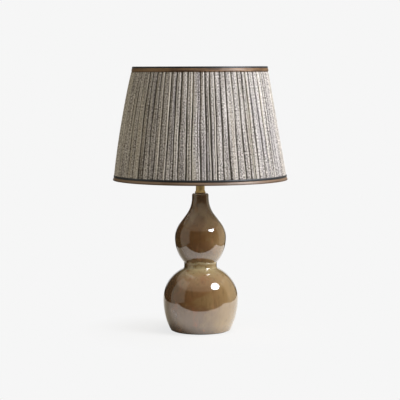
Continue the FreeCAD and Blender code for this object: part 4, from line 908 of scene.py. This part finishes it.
# %% [markdown]
# ## Table, room and lamps
#
# The lamp stands on a pale board, with one soft light box high on the right, a
# dim card beside each end of the board and a dark room behind the camera.  The
# glaze mirrors all of it: the board fills the lower third of each gourd, the
# cards are soft bands at the sides, and the box is the one bright spot.  Cloth
# and board are lit by a broad fill that is stronger from the front right.  To
# the camera both the board and the room behind it are plain off white.

# %% Board
PAPER = (0.9216, 0.9216, 0.9216)
LEFT_END, RIGHT_END, FRONT_END, BACK_END = -0.460, 0.550, -0.205, 0.705
SOFT, FRONT_BOW = 0.003, 0.16
TABLE, BELOW_FELT = 6.0, -0.0002
LIGHT_SIDE, LIGHT_FRONT = 0.875, 0.485
floor_mesh = bpy.data.meshes.new("floor")
sides = [(-TABLE, -TABLE), (TABLE, -TABLE), (TABLE, TABLE), (-TABLE, TABLE)]
square = [(*corner, BELOW_FELT) for corner in sides]
floor_mesh.from_pydata(square, [], [(0, 1, 2, 3)])
floor = bpy.data.objects.new("floor", floor_mesh)
bpy.context.scene.collection.objects.link(floor)
paper = Finish("paper", Roughness=1.0)
spot = paper.node("ShaderNodeTexCoord", take="Object")
aside = paper.node("ShaderNodeSeparateXYZ", {}, {0: spot}, take="X")
behind = paper.node("ShaderNodeSeparateXYZ", {}, {0: spot}, take="Y")
front = behind - aside * aside * FRONT_BOW
board = aside.step(LEFT_END - SOFT, LEFT_END + SOFT)
board = board * aside.step(RIGHT_END + SOFT, RIGHT_END - SOFT)
board = board * front.step(FRONT_END - SOFT, FRONT_END + SOFT)
board = board * behind.step(BACK_END + 0.005, BACK_END - 0.005)
away = (aside * aside + behind * behind) ** 0.5
plain = away.step(0.06, 0.28) * 0.16 + 0.84
lee = ((behind * LIGHT_SIDE + aside * LIGHT_FRONT) ** 2.0) ** 0.5
from_light = behind * LIGHT_FRONT - aside * LIGHT_SIDE
shadow = lee.step(0.12, 0.05) * from_light.step(-0.05, 0.03)
# Painted light: the board glows for reflections, less near the foot and in the lamp's
# painted shadow, and less towards the left.
shine = away.step(0.050, 0.085) * (1.0 - shadow * 0.85)
shine = shine * (aside.step(-0.30, 0.15) * 0.35 + 0.62)
glow = paper.mix(shine, (0.0, 0.0, 0.0), (0.92, 0.94, 1.0))
# Painted shadow: the board's colour is darkened beside the foot on its shaded side.
contact = away.step(0.115, 0.065) * shadow
paper.set(Base_Color=paper.mix(contact, (0.90, 0.90, 0.89), (0.25, 0.23, 0.20)))
paper.set(Specular_IOR_Level=0.0, Emission_Color=glow, Emission_Strength=0.30)
seen = paper.node("ShaderNodeLightPath", take="Is Camera Ray")
dark = paper.node("ShaderNodeBsdfDiffuse", {}, {"Color": (0.06, 0.055, 0.05)})
bright = paper.node("ShaderNodeEmission", {}, {"Color": PAPER})
lit = paper.node("ShaderNodeMixShader", {}, {0: board + seen, 1: dark})
paper.links.new(paper.shader.outputs[0], lit.socket.node.inputs[2])
final = paper.node("ShaderNodeMixShader", {}, {0: seen * plain, 1: lit, 2: bright})
paper.links.new(final.socket, paper.nodes["Material Output"].inputs[0])
floor_mesh.materials.append(paper.material)

# %% Room
world = bpy.data.worlds.new("room")
bpy.context.scene.world = world
world.use_nodes = True
room = world.node_tree


class Room(Finish):
    """The world's nodes, wired the same way as a finish."""

    def __init__(self, tree):
        self.nodes, self.links = tree.nodes, tree.links


air = Room(room)
direction = air.node("ShaderNodeTexCoord", take="Generated")
side = air.node("ShaderNodeSeparateXYZ", {}, {0: direction}, take="X")
back = air.node("ShaderNodeSeparateXYZ", {}, {0: direction}, take="Y")
up = air.node("ShaderNodeSeparateXYZ", {}, {0: direction}, take="Z")
mirrored = air.node("ShaderNodeLightPath", take="Is Glossy Ray")
passed = air.node("ShaderNodeLightPath", take="Is Transmission Ray")
camera_ray = air.node("ShaderNodeLightPath", take="Is Camera Ray")
behind_lamp = back.step(0.90, 0.97)
ceiling = up.step(0.50, 0.60)
dim = air.mix(ceiling, (0.040, 0.034, 0.026), (0.30, 0.255, 0.205))
dim = air.mix(behind_lamp, dim, PAPER)
front_right = (side * 0.60 - back * 0.80).step(0.05, 1.0)
fill = air.mix(front_right, (0.218, 0.182, 0.106), (1.000, 0.965, 0.915))
tint = air.mix(mirrored + passed, fill, dim)
tint = air.mix(camera_ray, tint, PAPER)
ground = room.nodes["Background"]
room.links.new(tint.socket, ground.inputs["Color"])
ground.inputs["Strength"].default_value = 1.0


# %% Lights
def soft_light(name, shape, size, direction, target, radiance, colour, roll=0):
    """Area light in a direction from the target, turned towards it.

    The direction is an azimuth from the front to the right, an elevation and a
    distance.  Its power is radiance times pi times its area, which for an
    ellipse is a quarter of pi times its width times its height.
    """
    data = bpy.data.lights.new(name, "AREA")
    wide, tall = size
    azimuth, elevation, distance = direction
    data.shape = shape
    data.size, data.size_y = wide, tall
    area = wide * tall * (math.pi / 4 if shape == "ELLIPSE" else 1)
    data.energy = radiance * math.pi * area
    data.color = colour
    lamp = bpy.data.objects.new(name, data)
    turn, lift = math.radians(azimuth), math.radians(elevation)
    flat = distance * math.cos(lift)
    away = (flat * math.sin(turn), -flat * math.cos(turn), distance * math.sin(lift))
    lamp.location = tuple(a + b for a, b in zip(target, away))
    facing = Euler((math.pi / 2 - lift, 0.0, turn)).to_matrix()
    facing = facing @ Matrix.Rotation(math.radians(roll), 3, "Z")
    lamp.rotation_euler = facing.to_euler()
    lamp.visible_camera = False
    bpy.context.scene.collection.objects.link(lamp)
    spot = tuple(round(part, 2) for part in lamp.location)
    print(f"{name}: {data.energy:.1f} W from {spot}")


soft_light(
    "box",
    "ELLIPSE",
    size=(0.53, 0.42),
    direction=(61.0, 36.5, 1.1),
    target=(0, 0, 0.22),
    radiance=13.8,
    colour=(0.985, 0.995, 1.045),
)
soft_light(
    "left card",
    "RECTANGLE",
    size=(0.50, 1.06),
    direction=(-90, 0, 0.48),
    target=(0, -0.125, 0.53),
    radiance=0.235,
    colour=(1.0, 0.95, 0.80),
    roll=8,
)
soft_light(
    "right card",
    "RECTANGLE",
    size=(0.90, 0.60),
    direction=(90, 0, 0.60),
    target=(0, 0.44, 0.31),
    radiance=0.32,
    colour=(1.0, 0.90, 0.68),
)
